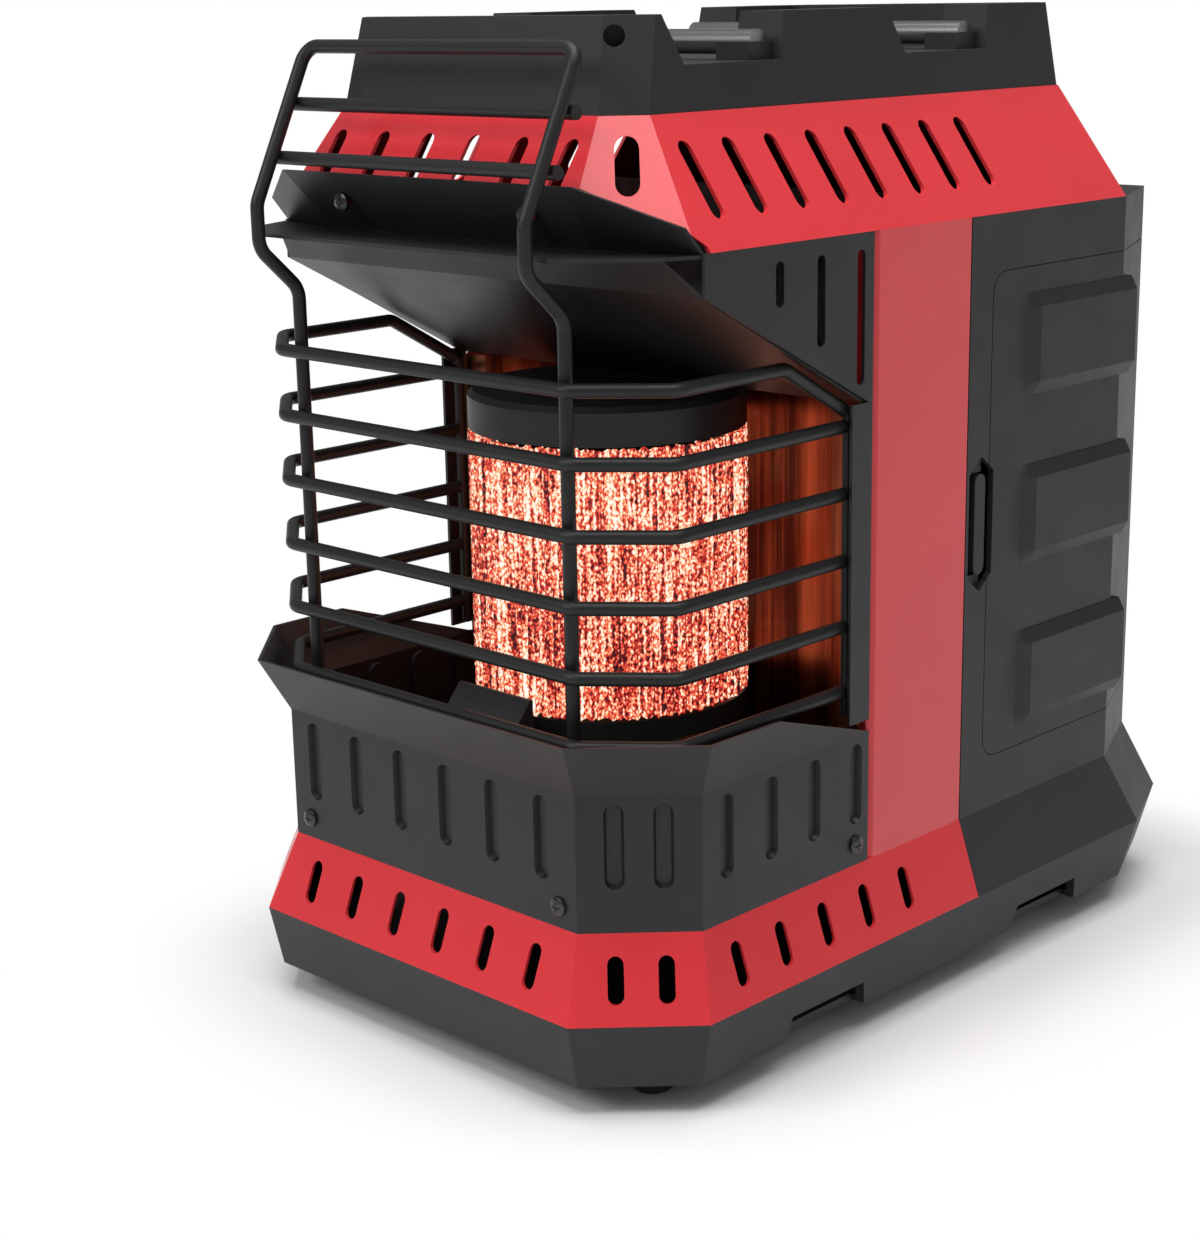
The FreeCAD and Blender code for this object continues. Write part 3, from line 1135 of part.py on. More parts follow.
def gas_supply():
    body = new_body("regulator")
    y = size("supply_y")
    drop = "inlet_low_z - pivot_z"
    shelf = "inlet_low_z + inlet_depth - pivot_z"
    profile = [("inlet_radius", drop), ("regulator_radius - 1", drop),
               ("regulator_radius", "%s + 1" % drop), ("regulator_radius", "regulator_dome_z - pivot_z - 3"),
               ("regulator_radius - 3", "regulator_dome_z - pivot_z"),
               ("0", "regulator_dome_z - pivot_z"), ("0", shelf), ("inlet_radius", shelf)]
    revolve(body, polygon(sketch(body, "XZ_Plane"), profile))
    pins = circle(sketch(body, "YZ_Plane", ("0", "0", "regulator_radius - 2")), "0", "0",
                  "pivot_radius - running_fit")
    twin = extrude(body, "Pad", pins, "bracket_half + sheet * 2 - regulator_radius + 2")
    mirror(body, twin)
    place(body, V(0, y, size("pivot_z")), FreeCAD.Rotation())
    bracket = new_body("regulator_bracket")
    half = "bracket_half"
    back = "partition_y"
    front = "supply_y + 9"
    outline = [("-(%s) - sheet * 2" % half, back), ("%s + sheet * 2" % half, back),
               ("%s + sheet * 2" % half, front), (half, front), (half, "%s + sheet * 2" % back),
               ("-(%s)" % half, "%s + sheet * 2" % back), ("-(%s)" % half, front),
               ("-(%s) - sheet * 2" % half, front)]
    low = ("0", "0", "pivot_z - bracket_height / 2")
    drawing = polygon(sketch(bracket, "XY_Plane", low), outline)
    extrude(bracket, "Pad", drawing, "bracket_height")
    hole = circle(sketch(bracket, "YZ_Plane"), "supply_y", "pivot_z", "pivot_radius")
    extrude(bracket, "Pocket", hole, "4 * bracket_half", "Symmetric")
    floor = size("deck_z") + size("deck_thick") + size("tube_radius") + size("tube_lift")
    valve_at, turn = slope_frame(size("knob_x"))
    valve_end = valve_at + turn.multVec(V(0, 0, -size("valve_gap") - size("valve_depth")))
    down = turn.multVec(V(0, 0, -1))
    bend = size("tube_bend")
    x, y, burner_y = -size("tube_x"), size("tube_y"), size("burner_y")
    throat = size("throat_radius") + 2 * size("running_fit")
    path = [valve_end, valve_end + down * 2.5 * bend,
            V(x, y + 2 * bend, size("door_top_z") - 3 * bend), V(x, y, floor + 8 * bend),
            V(x, y, floor), V(x, size("tube_low_y"), floor),
            V(-size("tube_turn_x"), burner_y, floor), V(-throat, burner_y, floor)]
    code_part("burner_feed_tube", bent_wire(path, size("tube_radius"), bend))


def tip_switch():
    x, y, low = size("switch_x"), size("switch_y"), size("switch_low_z")
    half, wall, pin_radius = size("switch_half"), size("switch_wall"), size("switch_pivot_radius")
    top = size("deck_z")
    arm, hub_radius = size("pendulum_arm"), size("pendulum_hub")
    pivot_z = top - size("switch_pivot_drop")
    shell = Part.makeBox(2 * half, 2 * half, top - low, V(x - half, y - half, low))
    hollow = Part.makeBox(2 * (half - wall), 2 * half, top - low - 2 * wall,
                          V(x - half + wall, y - half, low + wall))
    across = Part.makeCylinder(pin_radius, 2 * half - 1.5 * wall,
                               V(x - half + 0.75 * wall, y, pivot_z), V(1, 0, 0))
    code_part("tip_switch_housing", shell.cut(hollow).cut(across))
    bob = Part.makeSphere(size("pendulum_radius"), V(x, y, pivot_z - arm))
    rod = Part.makeCylinder(size("pendulum_rod"), arm, V(x, y, pivot_z - arm))
    hub = Part.makeCylinder(hub_radius, 2 * hub_radius, V(x - hub_radius, y, pivot_z), V(1, 0, 0))
    bore = Part.makeCylinder(pin_radius + size("running_fit"), 3 * hub_radius,
                             V(x - 1.5 * hub_radius, y, pivot_z), V(1, 0, 0))
    code_part("tip_pendulum", bob.fuse(rod).fuse(hub).cut(bore))
    code_part("tip_pivot_pin", across)


def hood_screw_spot(side):
    """Middle of the visor's sloped face, where a screw head sits against it."""
    y = (size("visor_front_y") + size("visor_foot_y")) / 2
    z = (size("visor_top_z") + size("deflector_z") + size("sheet") + size("seam")) / 2
    return V(side * size("hood_screw_x"), y - 2.6, z)


def hood_screws():
    screws = [screw_shape(hood_screw_spot(side), V(0, 1, 0)) for side in (-1, 1)]
    code_part("hood_screws", Part.makeCompound(screws))


def check_and_write():
    """Stop on any failed object, then write each piece to its own file."""
    DOC.recompute()
    failed = [item.Name for item in DOC.Objects
              if "Invalid" in item.State or "Error" in item.State]
    for part in PARTS:
        shape = part.Shape
        if shape.isNull() or not shape.isValid() or shape.Volume <= 0:
            failed.append(part.Label)
    if failed:
        raise RuntimeError("These objects failed: " + ", ".join(failed))
    os.makedirs("parts", exist_ok=True)
    for part in PARTS:
        part.Shape.exportStep("parts/%s.step" % part.Label)
        print("%-24s %2d solids %10.0f mm3" % (part.Label, len(part.Shape.Solids), part.Shape.Volume))


def main():
    steps = (base_tray, feet, deck, lower_skirt, front_shroud, shroud_screws, side_panels,
             side_flanges, gussets, partition, reflector, hood_visor, hood_deflector,
             hood_screws, wire_guard, burner, pilot_parts, upper_shoulder, top_cover,
             carry_bars, rear_housing, rear_door, latch_cup, door_catch, door_hinges,
             controls, gas_supply, tip_switch)
    for step in steps:
        step()
        DOC.recompute()
        bad = [item.Name for item in DOC.Objects
               if "Invalid" in item.State or "Error" in item.State]
        if bad:
            print(step.__name__, "failed:", bad)
    check_and_write()


main()
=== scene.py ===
import json
import math

import bmesh
import bpy
from mathutils import Matrix, Vector, noise

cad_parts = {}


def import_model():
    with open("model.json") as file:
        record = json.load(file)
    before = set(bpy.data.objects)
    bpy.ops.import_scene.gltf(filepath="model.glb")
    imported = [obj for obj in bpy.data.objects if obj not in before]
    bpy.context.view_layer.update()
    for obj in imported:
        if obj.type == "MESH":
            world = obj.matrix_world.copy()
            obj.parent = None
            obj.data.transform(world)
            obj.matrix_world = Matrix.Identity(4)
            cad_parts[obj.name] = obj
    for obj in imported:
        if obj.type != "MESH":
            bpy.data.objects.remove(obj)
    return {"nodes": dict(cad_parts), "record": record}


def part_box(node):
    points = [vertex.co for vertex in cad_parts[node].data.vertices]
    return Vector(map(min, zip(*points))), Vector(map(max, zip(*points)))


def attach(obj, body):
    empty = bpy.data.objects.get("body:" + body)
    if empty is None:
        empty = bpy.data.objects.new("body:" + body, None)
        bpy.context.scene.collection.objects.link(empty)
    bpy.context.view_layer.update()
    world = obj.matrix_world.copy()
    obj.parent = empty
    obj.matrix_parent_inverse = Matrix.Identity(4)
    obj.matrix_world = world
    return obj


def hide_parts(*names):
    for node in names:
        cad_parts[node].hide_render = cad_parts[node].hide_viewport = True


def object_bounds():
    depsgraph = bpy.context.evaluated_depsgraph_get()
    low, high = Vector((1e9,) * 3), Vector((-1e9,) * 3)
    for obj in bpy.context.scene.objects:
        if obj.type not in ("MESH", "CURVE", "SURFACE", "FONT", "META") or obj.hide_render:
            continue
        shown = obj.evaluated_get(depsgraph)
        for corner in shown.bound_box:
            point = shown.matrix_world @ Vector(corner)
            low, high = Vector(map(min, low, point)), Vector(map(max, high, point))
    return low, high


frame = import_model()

MM = 0.001
CAD_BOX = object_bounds()
NODES = frame["nodes"]

# Camera fitted to the photograph: a place in metres, three turns in degrees, a lens in mm
CAMERA_PLACE = (0.5921, -0.6727, 0.3702)
CAMERA_YAW = 44.51
CAMERA_PITCH = -15.11
CAMERA_ROLL = -1.11
CAMERA_LENS = 67.9
SENSOR_WIDTH = 36.0

# Burner, as in the frame
BURNER_LOW, BURNER_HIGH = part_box("burner_mesh")
BURNER_CENTRE = (BURNER_LOW + BURNER_HIGH) / 2
BURNER_RADIUS = (BURNER_HIGH.x - BURNER_LOW.x) / 2

# Knitted sleeve: how far its parts stand in or out
RIB_SEGMENTS = 6
RIB_RISE = 0.45 * MM
KNOT_RISE = 0.5 * MM
FRAY = 1.6 * MM
SLEEVE_INSET = 0.9 * MM
SLEEVE_WALL = 0.6 * MM

# Cross screws: a screw farther out than SIDE_WALL_X sits on a side wall
SCREW_RADIUS = 3.4 * MM
SCREW_SPREAD = 14 * MM
SIDE_WALL_X = 95 * MM
CROWN_RISE = 0.75 * MM
RIM_STEPS = 5
RIM_STEP = 0.18 * MM
RECESS_DEPTH = 0.62 * MM
RECESS_HALF_WIDTH = 0.50 * MM
RECESS_REACH = 1.95 * MM

# Soft edges on the carried over solids, in millimetres by slot
EDGE_WIDTHS = {"black_sheet": 0.35, "red_paint": 0.4, "black_plastic": 0.7, "hinge_plastic": 0.4,
               "bar_metal": 0.4, "burner_steel": 0.5, "galvanised_sheet": 0.3}
# Bevels of these slots take a lighter, glossier material: a painted highlight along the edges.
EDGE_MATERIALS = {"black_sheet": "black_edge_painted_highlight", "red_paint": "red_edge_painted_highlight"}
BEVEL_ANGLE = math.radians(28)
SPLIT_ANGLE = math.radians(35)

RED = (0.76, 0.036, 0.046)
BLACK = (0.0175, 0.0175, 0.0185)
WHITE = (1, 1, 1, 1)

# Floor: its tone for the lamps and for the camera, and where it turns white
FLOOR_TONE = (0.74, 0.74, 0.74)
FLOOR_SEEN = (0.97, 0.97, 0.97)
FLOOR_HALF = 6.0
FLOOR_DROP = 0.2 * MM
WHITE_START = 12 * MM
WHITE_END = 85 * MM
SKY_LIGHT = 0.24


# node helpers


def new_material(name):
    """A material with its tree and its main shader."""
    material = bpy.data.materials.new(name)
    material.use_nodes = True
    tree = material.node_tree
    shader = tree.nodes["Principled BSDF"]
    return material, tree, shader


def add(tree, kind, **settings):
    """A node whose inputs or properties are set by name."""
    node = tree.nodes.new(kind)
    for key, value in settings.items():
        if key in node.inputs:
            node.inputs[key].default_value = value
        else:
            setattr(node, key, value)
    return node


def wire(tree, start, out, end, into):
    tree.links.new(start.outputs[out], end.inputs[into])


def object_space(tree, stretch=(1, 1, 1)):
    """Object coordinates in metres, stretched along each axis."""
    place = add(tree, "ShaderNodeTexCoord")
    mapping = add(tree, "ShaderNodeMapping")
    mapping.inputs["Scale"].default_value = stretch
    wire(tree, place, "Object", mapping, "Vector")
    return mapping


def noise_node(tree, mapping, scale, detail=4.0, roughness=0.6):
    """Noise with a scale in waves per metre."""
    node = add(tree, "ShaderNodeTexNoise", Scale=scale, Detail=detail, Roughness=roughness)
    wire(tree, mapping, "Vector", node, "Vector")
    return node


def ramp(tree, source, out, stops):
    """Colour ramp from (position, colour) stops."""
    node = add(tree, "ShaderNodeValToRGB")
    band = node.color_ramp
    while len(band.elements) < len(stops):
        band.elements.new(0.5)
    for element, (position, colour) in zip(band.elements, stops):
        element.position = position
        element.color = (*colour, 1.0)
    wire(tree, source, out, node, "Fac")
    return node


def spread(tree, source, out, low, high):
    """Map a 0 to 1 value on to a range."""
    node = add(tree, "ShaderNodeMapRange")
    node.inputs["To Min"].default_value = low
    node.inputs["To Max"].default_value = high
    wire(tree, source, out, node, "Value")
    return node


def bump(tree, shader, source, out, height, distance, under=None):
    """Bump into a shader, on top of another bump where one is given."""
    node = add(tree, "ShaderNodeBump", Strength=height, Distance=distance)
    wire(tree, source, out, node, "Height")
    if under:
        wire(tree, under, "Normal", node, "Normal")
    wire(tree, node, "Normal", shader, "Normal")
    return node


def shade(colour, factor):
    """A colour made lighter or darker."""
    return tuple(min(1.0, channel * factor) for channel in colour)


def coated(name, colour, rough, grain, depth, metallic=0.0, coat=0.0, vary=0.12, shine=0.5):
    """Paint or moulded plastic: patchy tone, fine grain and uneven sheen."""
    material, tree, shader = new_material(name)
    space = object_space(tree)
    cloud = noise_node(tree, space, 14.0, 5.0)
    tone = ramp(tree, cloud, "Fac", [(0.3, shade(colour, 1 - vary)), (0.7, shade(colour, 1 + vary))])
    wire(tree, tone, "Color", shader, "Base Color")
    grit = noise_node(tree, space, grain, 3.0)
    sheen = noise_node(tree, space, 60.0, 6.0)
    rougher = spread(tree, sheen, "Fac", rough * 0.82, rough * 1.2)
    wire(tree, rougher, "Result", shader, "Roughness")
    fine = bump(tree, shader, grit, "Fac", 1.0, depth)
    bump(tree, shader, cloud, "Fac", 0.35, depth * 3, fine)
    shader.inputs["Metallic"].default_value = metallic
    shader.inputs["Coat Weight"].default_value = coat
    shader.inputs["Coat Roughness"].default_value = 0.12
    shader.inputs["Specular IOR Level"].default_value = shine
    return material


def galvanised(name, colour):
    """Zinc coated sheet with its spangle."""
    material, tree, shader = new_material(name)
    space = object_space(tree)
    cells = add(tree, "ShaderNodeTexVoronoi", Scale=160.0)
    wire(tree, space, "Vector", cells, "Vector")
    tone = ramp(tree, cells, "Distance", [(0.0, shade(colour, 0.8)), (0.8, shade(colour, 1.2))])
    wire(tree, tone, "Color", shader, "Base Color")
    rougher = spread(tree, cells, "Distance", 0.3, 0.5)
    wire(tree, rougher, "Result", shader, "Roughness")
    shader.inputs["Metallic"].default_value = 0.9
    bump(tree, shader, cells, "Distance", 0.2, 0.0002)
    return material


def rolled_metal(name, colour, darker_tone, rough, stretch, streaks=(1, 1, 1), metallic=1.0):
    """Bare metal with rolling lines along one way and clouds of a darker tone."""
    material, tree, shader = new_material(name)
    lines = noise_node(tree, object_space(tree, stretch), 90.0, 4.0)
    cloud = noise_node(tree, object_space(tree, streaks), 22.0, 6.0)
    tone = ramp(tree, cloud, "Fac", [(0.38, colour), (0.62, darker_tone)])
    wire(tree, tone, "Color", shader, "Base Color")
    rougher = spread(tree, lines, "Fac", rough * 0.7, rough * 1.4)
    wire(tree, rougher, "Result", shader, "Roughness")
    shader.inputs["Metallic"].default_value = metallic
    bump(tree, shader, lines, "Fac", 0.25, 0.0003)
    return material


def scaled(tree, node, out, factor, plus=None, plus_out="Fac"):
    """A node's value times a factor, with another node's value added."""
    value = add(tree, "ShaderNodeMath", operation="MULTIPLY_ADD")
    wire(tree, node, out, value, 0)
    value.inputs[1].default_value = factor
    value.inputs[2].default_value = 0.0
    if plus:
        wire(tree, plus, plus_out, value, 2)
    return value


def wrapped(tree, place, across, up):
    """Unrolled sleeve coordinates, in metres times a stretch."""
    mapping = add(tree, "ShaderNodeMapping")
    mapping.inputs["Scale"].default_value = (across, up, 1.0)
    wire(tree, place, "UV", mapping, "Vector")
    return mapping


def glowing_mesh(name):
    """Knitted wire at working heat: bright stitches, red gaps and dark patches between."""
    material, tree, shader = new_material(name)
    place = add(tree, "ShaderNodeUVMap", uv_map="wrap")
    stitch = add(tree, "ShaderNodeTexVoronoi", Scale=1120.0, Randomness=0.85)
    wire(tree, wrapped(tree, place, 1.0, 0.62), "Vector", stitch, "Vector")
    column = noise_node(tree, wrapped(tree, place, 1.0, 0.035), 560.0, 1.0, 0.5)
    thread = noise_node(tree, wrapped(tree, place, 1.0, 0.5), 900.0, 3.0, 0.7)
    patch = noise_node(tree, wrapped(tree, place, 1.0, 0.6), 34.0, 4.0, 0.6)
    heat = scaled(tree, stitch, "Distance", -0.85)
    heat = scaled(tree, column, "Fac", 1.3, heat, "Value")
    heat = scaled(tree, thread, "Fac", 1.3, heat, "Value")
    heat = scaled(tree, patch, "Fac", 0.55, heat, "Value")
    level = add(tree, "ShaderNodeMapRange")
    level.inputs["From Min"].default_value = 0.78
    level.inputs["From Max"].default_value = 1.52
    wire(tree, heat, "Value", level, "Value")
    stops = [(0.0, (0.018, 0.003, 0.008)), (0.18, (0.30, 0.008, 0.012)), (0.36, (0.82, 0.05, 0.03)),
             (0.52, (1.0, 0.19, 0.09)), (0.66, (1.0, 0.55, 0.28)), (0.80, (1.0, 0.90, 0.66)),
             (0.95, (1.0, 0.98, 0.90))]
    glow = ramp(tree, level, "Result", stops)
    wire(tree, glow, "Color", shader, "Emission Color")
    shader.inputs["Emission Strength"].default_value = 1.0
    shader.inputs["Base Color"].default_value = (0.05, 0.02, 0.015, 1)
    shader.inputs["Roughness"].default_value = 0.7
    bump(tree, shader, thread, "Fac", 0.6, 0.0008)
    return material


def all_materials():
    """Each slot of the record, by name, and two lighter, glossier ones for bevelled edges: a painted
    edge highlight.
    """
    steel = (0.30, 0.30, 0.31)
    return {
        "red_paint": coated("red_paint", RED, 0.34, 1300.0, 0.00003, coat=0.5, vary=0.05, shine=0.3),
        "black_sheet": coated("black_sheet", BLACK, 0.42, 1500.0, 0.00005, vary=0.16, shine=0.38),
        # Black sheet's bevels, about three times lighter: a painted edge highlight.
        "black_edge_painted_highlight": coated("black_edge_painted_highlight", shade(BLACK, 3.2), 0.34, 1500.0, 0.00003, shine=0.6),
        # Red paint's bevels, lighter and fully coated: a painted edge highlight.
        "red_edge_painted_highlight": coated("red_edge_painted_highlight", shade(RED, 1.12), 0.2, 1300.0, 0.00002, coat=1.0, vary=0.04),
        "galvanised_sheet": galvanised("galvanised_sheet", (0.22, 0.21, 0.20)),
        "guard_wire": coated("guard_wire", shade(BLACK, 0.9), 0.40, 1600.0, 0.00004, shine=0.3),
        "black_plastic": coated("black_plastic", shade(BLACK, 1.1), 0.50, 2200.0, 0.00007,
                                shine=0.42),
        "grip_rubber": coated("grip_rubber", (0.012, 0.012, 0.012), 0.8, 900.0, 0.0001),
        "screw_steel": rolled_metal("screw_steel", (0.07, 0.07, 0.075), (0.04, 0.04, 0.045), 0.22,
                                    (1, 1, 6), metallic=0.7),
        "bar_metal": rolled_metal("bar_metal", shade(steel, 1.1), steel, 0.30, (0.05, 6, 6)),
        "burner_mesh": glowing_mesh("burner_mesh"),
        "burner_steel": coated("burner_steel", (0.030, 0.028, 0.030), 0.45, 900.0, 0.00008,
                               metallic=0.3, vary=0.25, shine=0.4),
        # Reflector: a much darker tone in streaks up its height.
        "copper_reflector": rolled_metal("copper_reflector", (0.50, 0.17, 0.08),
                                         (0.06, 0.018, 0.012), 0.30, (8, 8, 0.1), (3.2, 3.2, 0.12)),
        "valve_brass": rolled_metal("valve_brass", (0.65, 0.45, 0.18), (0.5, 0.33, 0.12), 0.3,
                                    (1, 1, 5)),
        "cast_zinc": coated("cast_zinc", (0.36, 0.36, 0.37), 0.5, 700.0, 0.0002, metallic=0.8),
        "hinge_plastic": coated("hinge_plastic", BLACK, 0.50, 2200.0, 0.00007, shine=0.42),
        "igniter_plastic": coated("igniter_plastic", shade(BLACK, 0.8), 0.25, 900.0, 0.00003),
        "igniter_red": coated("igniter_red", (0.55, 0.02, 0.02), 0.25, 900.0, 0.00003, coat=0.4),
        "white_ceramic": coated("white_ceramic", (0.8, 0.78, 0.74), 0.2, 900.0, 0.00003, coat=0.5),
    }


# mesh helpers


def mesh_object(name, build):
    """A new object whose mesh is filled by build(bm)."""
    bm = bmesh.new()
    build(bm)
    mesh = bpy.data.meshes.new(name)
    bm.to_mesh(mesh)
    bm.free()
    piece = bpy.data.objects.new(name, mesh)
    bpy.context.scene.collection.objects.link(piece)
    return piece


def finish_piece(piece, material, node):
    """Material, slot and body of a piece that takes the place of a node."""
    piece.data.materials.append(material)
    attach(piece, "root")
    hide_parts(node)


def dress_nodes(materials):
    """Every carried over solid gets the material of its slot and soft edges."""
    slots = {part["node"]: part["material_slot"] for part in frame["record"]["subparts"]}
    for name, solid in NODES.items():
        slot = slots[name]
        solid.data.materials.clear()
        solid.data.materials.append(materials[slot])
        for face in solid.data.polygons:
            face.use_smooth = True
        width = EDGE_WIDTHS.get(slot)
        if width:
            bevel = solid.modifiers.new("soft_edges", "BEVEL")
            bevel.width = width * MM
            bevel.segments = 2
            bevel.limit_method = "ANGLE"
            bevel.angle_limit = BEVEL_ANGLE
            bevel.harden_normals = True
            # Black sheet and red paint: the bevel gets a lighter material, a painted edge highlight.
            if slot in EDGE_MATERIALS:
                solid.data.materials.append(materials[EDGE_MATERIALS[slot]])
                bevel.material = 1
        else:
            smooth = solid.modifiers.new("smooth_by_angle", "EDGE_SPLIT")
            smooth.split_angle = SPLIT_ANGLE


def burner_glow(material):
    """Knitted wire sleeve with upright ribs and a frayed top and bottom edge."""
    around, up = 720, 120
    low, high = BURNER_LOW.z, BURNER_HIGH.z

    def build(bm):
        layer = bm.loops.layers.uv.new("wrap")
        rows = []
        for j in range(up + 1):
            ring = []
            for i in range(around):
                angle = 2 * math.pi * i / around
                spot = Vector((math.cos(angle) * 9, math.sin(angle) * 9, 0))
                fray = FRAY * noise.noise(spot * 3.1)
                bottom = low + SLEEVE_INSET + fray
                top = high - SLEEVE_INSET - fray
                z = bottom + (top - bottom) * j / up
                rib = RIB_RISE * math.cos(angle * around / RIB_SEGMENTS)
                knot = KNOT_RISE * noise.noise(Vector((spot.x * 7, spot.y * 7, z / MM * 0.45)))
                radius = BURNER_RADIUS - SLEEVE_INSET + rib + knot
                ring.append(bm.verts.new((BURNER_CENTRE.x + radius * math.cos(angle),
                                          BURNER_CENTRE.y + radius * math.sin(angle), z)))
            rows.append(ring)
        for j in range(up):
            for i in range(around):
                after = (i + 1) % around
                face = bm.faces.new((rows[j][i], rows[j][after], rows[j + 1][after],
                                     rows[j + 1][i]))
                face.smooth = True
                corners = ((i, j), (i + 1, j), (i + 1, j + 1), (i, j + 1))
                for loop, (across, rise) in zip(face.loops, corners):
                    wrap = 2 * math.pi * BURNER_RADIUS * across / around
                    loop[layer].uv = (wrap, (high - low) * rise / up)

    piece = mesh_object("burner_glow", build)
    solid = piece.modifiers.new("wall", "SOLIDIFY")
    solid.thickness = SLEEVE_WALL
    solid.offset = -1
    finish_piece(piece, material, "burner_mesh")


def screw_seats(node, away):
    """Middle of each screw head in a node, from its farthest points along a direction."""
    points = [vertex.co for vertex in NODES[node].data.vertices]
    groups = []
    for point in points:
        for group in groups:
            if (group[0] - point).length < SCREW_SPREAD:
                group.append(point)
                break
        else:
            groups.append([point])
    seats = []
    for group in groups:
        reach = max(point.dot(away) for point in group)
        crown = [point for point in group if point.dot(away) > reach - 0.1 * MM]
        seats.append(sum(crown, Vector()) / len(crown))
    return seats


def pan_head(bm, crown, away):
    """Domed head with a cross recess, its crown at a point and its face turned away."""
    turn = away.to_track_quat("Z", "Y").to_matrix()
    rings, around = 30, 96
    rows = []
    for j in range(rings + 1):
        row = []
        for i in range(around):
            angle = 2 * math.pi * i / around
            reach = SCREW_RADIUS * min(1.0, j / (rings - RIM_STEPS))
            x, y = reach * math.cos(angle), reach * math.sin(angle)
            share = reach / SCREW_RADIUS
            height = -CROWN_RISE * share ** 2.6
            long_way, short_way = max(abs(x), abs(y)), min(abs(x), abs(y))
            in_slot = min(1.0, max(0.0, (RECESS_HALF_WIDTH - short_way) / (0.16 * MM)))
            in_reach = min(1.0, max(0.0, (RECESS_REACH - long_way) / (0.5 * MM)))
            height -= RECESS_DEPTH * in_slot * in_reach
            if j > rings - RIM_STEPS:
                height -= RIM_STEP * (j - rings + RIM_STEPS)
            row.append(bm.verts.new(crown + turn @ Vector((x, y, height))))
        rows.append(row)
    for j in range(rings):
        for i in range(around):
            after = (i + 1) % around
            face = bm.faces.new((rows[j][i], rows[j + 1][i], rows[j + 1][after], rows[j][after]))
            face.smooth = True
    bmesh.ops.remove_doubles(bm, verts=rows[0], dist=1e-7)
    bm.faces.new(list(reversed(rows[rings])))


def cross_screws(name, node, ways, material):
    """Pan head cross screws where a node has its plain ones."""
    def build(bm):
        for away, wanted in ways:
            for crown in screw_seats(node, away):
                if wanted(crown):
                    pan_head(bm, crown, away)

    finish_piece(mesh_object(name, build), material, node)


def all_screws(material):
    """Screws on the front and side walls of the shroud, and on the hood."""
    ways = ((Vector((0, -1, 0)), lambda crown: abs(crown.x) < SIDE_WALL_X),
            (Vector((1, 0, 0)), lambda crown: crown.x > SIDE_WALL_X),
            (Vector((-1, 0, 0)), lambda crown: crown.x < -SIDE_WALL_X))
    cross_screws("shroud_cross_screws", "shroud_screws", ways, material)
    cross_screws("hood_cross_screws", "hood_screws", ways[:1], material)


# stage


def camera():
    """The photograph's view."""
    data = bpy.data.cameras.new("camera")
    data.lens = CAMERA_LENS
    data.sensor_width = SENSOR_WIDTH
    view = bpy.data.objects.new("camera", data)
    yaw = Matrix.Rotation(math.radians(CAMERA_YAW), 4, "Z")
    pitch = Matrix.Rotation(math.radians(90 + CAMERA_PITCH), 4, "X")
    roll = Matrix.Rotation(math.radians(CAMERA_ROLL), 4, "Z")
    view.matrix_world = Matrix.Translation(CAMERA_PLACE) @ yaw @ pitch @ roll
    bpy.context.scene.collection.objects.link(view)
    bpy.context.scene.camera = view


def area_lamp(name, place, target, size, power):
    """A softbox that points at a target."""
    data = bpy.data.lights.new(name, "AREA")
    data.shape = "RECTANGLE"
    data.size, data.size_y = size
    data.energy = power
    lamp = bpy.data.objects.new(name, data)
    aim = (Vector(target) - Vector(place)).to_track_quat("-Z", "Y")
    lamp.matrix_world = Matrix.Translation(place) @ aim.to_matrix().to_4x4()
    bpy.context.scene.collection.objects.link(lamp)


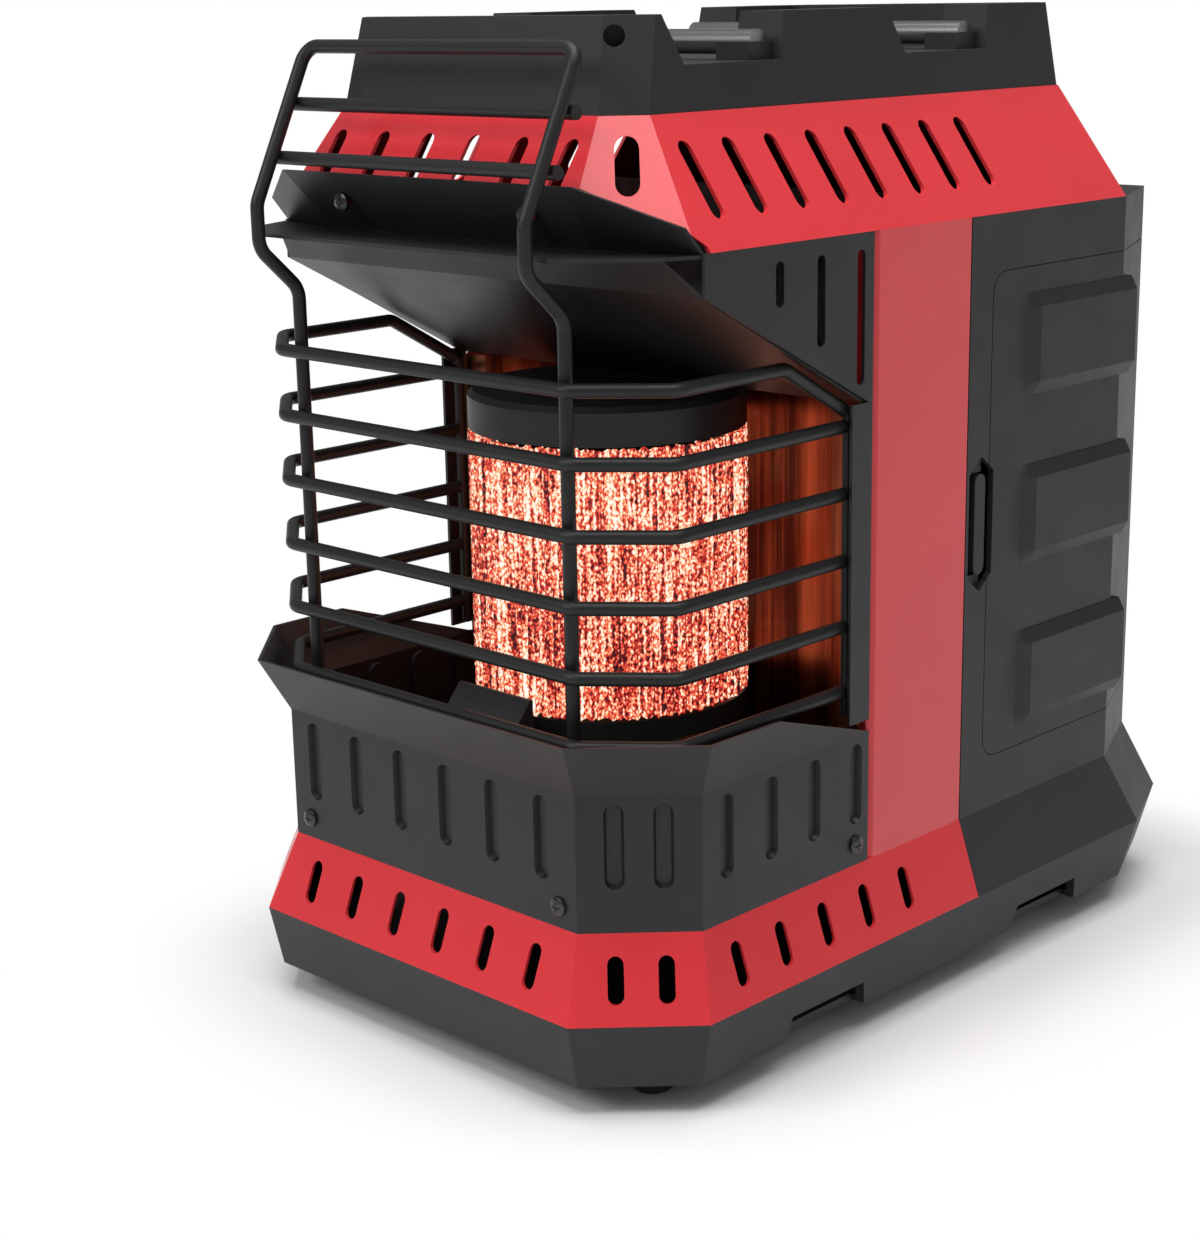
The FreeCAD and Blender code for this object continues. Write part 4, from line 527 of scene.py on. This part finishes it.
def floor():
    """Pale floor that keeps the shadow near the heater and is white farther off."""
    def build(bm):
        bmesh.ops.create_grid(bm, x_segments=2, y_segments=2, size=FLOOR_HALF)

    ground = mesh_object("floor", build)
    material = bpy.data.materials.new("floor")
    material.use_nodes = True
    tree = material.node_tree
    tree.nodes.remove(tree.nodes["Principled BSDF"])
    diffuse = add(tree, "ShaderNodeBsdfDiffuse")
    glow = add(tree, "ShaderNodeEmission", Color=WHITE)
    path = add(tree, "ShaderNodeLightPath")
    seen = add(tree, "ShaderNodeMath", operation="MAXIMUM")
    wire(tree, path, "Is Camera Ray", seen, 0)
    wire(tree, path, "Is Glossy Ray", seen, 1)
    pale = ramp(tree, seen, "Value", [(0.0, FLOOR_TONE), (1.0, FLOOR_SEEN)])
    wire(tree, pale, "Color", diffuse, "Color")
    place = add(tree, "ShaderNodeTexCoord")
    mirrored = add(tree, "ShaderNodeVectorMath", operation="ABSOLUTE")
    wire(tree, place, "Object", mirrored, 0)
    beyond = add(tree, "ShaderNodeVectorMath", operation="SUBTRACT")
    wire(tree, mirrored, "Vector", beyond, 0)
    beyond.inputs[1].default_value = (CAD_BOX[1][0], CAD_BOX[1][1], 0.0)
    outside = add(tree, "ShaderNodeVectorMath", operation="MAXIMUM")
    wire(tree, beyond, "Vector", outside, 0)
    outside.inputs[1].default_value = (0.0, 0.0, 0.0)
    away = add(tree, "ShaderNodeVectorMath", operation="LENGTH")
    wire(tree, outside, "Vector", away, "Vector")
    far = add(tree, "ShaderNodeMapRange", interpolation_type="SMOOTHSTEP")
    far.inputs["From Min"].default_value = WHITE_START
    far.inputs["From Max"].default_value = WHITE_END
    wire(tree, away, "Value", far, "Value")
    share = add(tree, "ShaderNodeMath", operation="MULTIPLY")
    wire(tree, seen, "Value", share, 0)
    wire(tree, far, "Result", share, 1)
    both = add(tree, "ShaderNodeMixShader")
    wire(tree, share, "Value", both, 0)
    wire(tree, diffuse, "BSDF", both, 1)
    wire(tree, glow, "Emission", both, 2)
    wire(tree, both, "Shader", tree.nodes["Material Output"], "Surface")
    ground.data.materials.append(material)
    ground.location.z = -FLOOR_DROP


def world():
    """White to the camera, dimmer as a light."""
    sky = bpy.data.worlds.new("studio")
    bpy.context.scene.world = sky
    sky.use_nodes = True
    tree = sky.node_tree
    back = tree.nodes["Background"]
    back.inputs["Color"].default_value = WHITE
    path = add(tree, "ShaderNodeLightPath")
    level = add(tree, "ShaderNodeMapRange")
    level.inputs["To Min"].default_value = SKY_LIGHT
    level.inputs["To Max"].default_value = 1.0
    wire(tree, path, "Is Camera Ray", level, "Value")
    wire(tree, level, "Result", back, "Strength")


def lights():
    """A large softbox overhead, a weak key from the front and a weaker one from the side."""
    middle = (0.0, -0.02, 0.18)
    area_lamp("key", (-0.45, -1.45, 1.15), middle, (0.9, 0.7), 9.0)
    area_lamp("side", (1.45, -0.35, 1.05), middle, (0.8, 0.8), 1.0)
    area_lamp("top", (0.15, -0.15, 1.75), middle, (1.5, 1.5), 30.0)


def main():
    camera()
    materials = all_materials()
    dress_nodes(materials)
    burner_glow(materials["burner_mesh"])
    all_screws(materials["screw_steel"])
    floor()
    world()
    lights()
    bpy.context.scene.view_settings.view_transform = "Standard"


main()
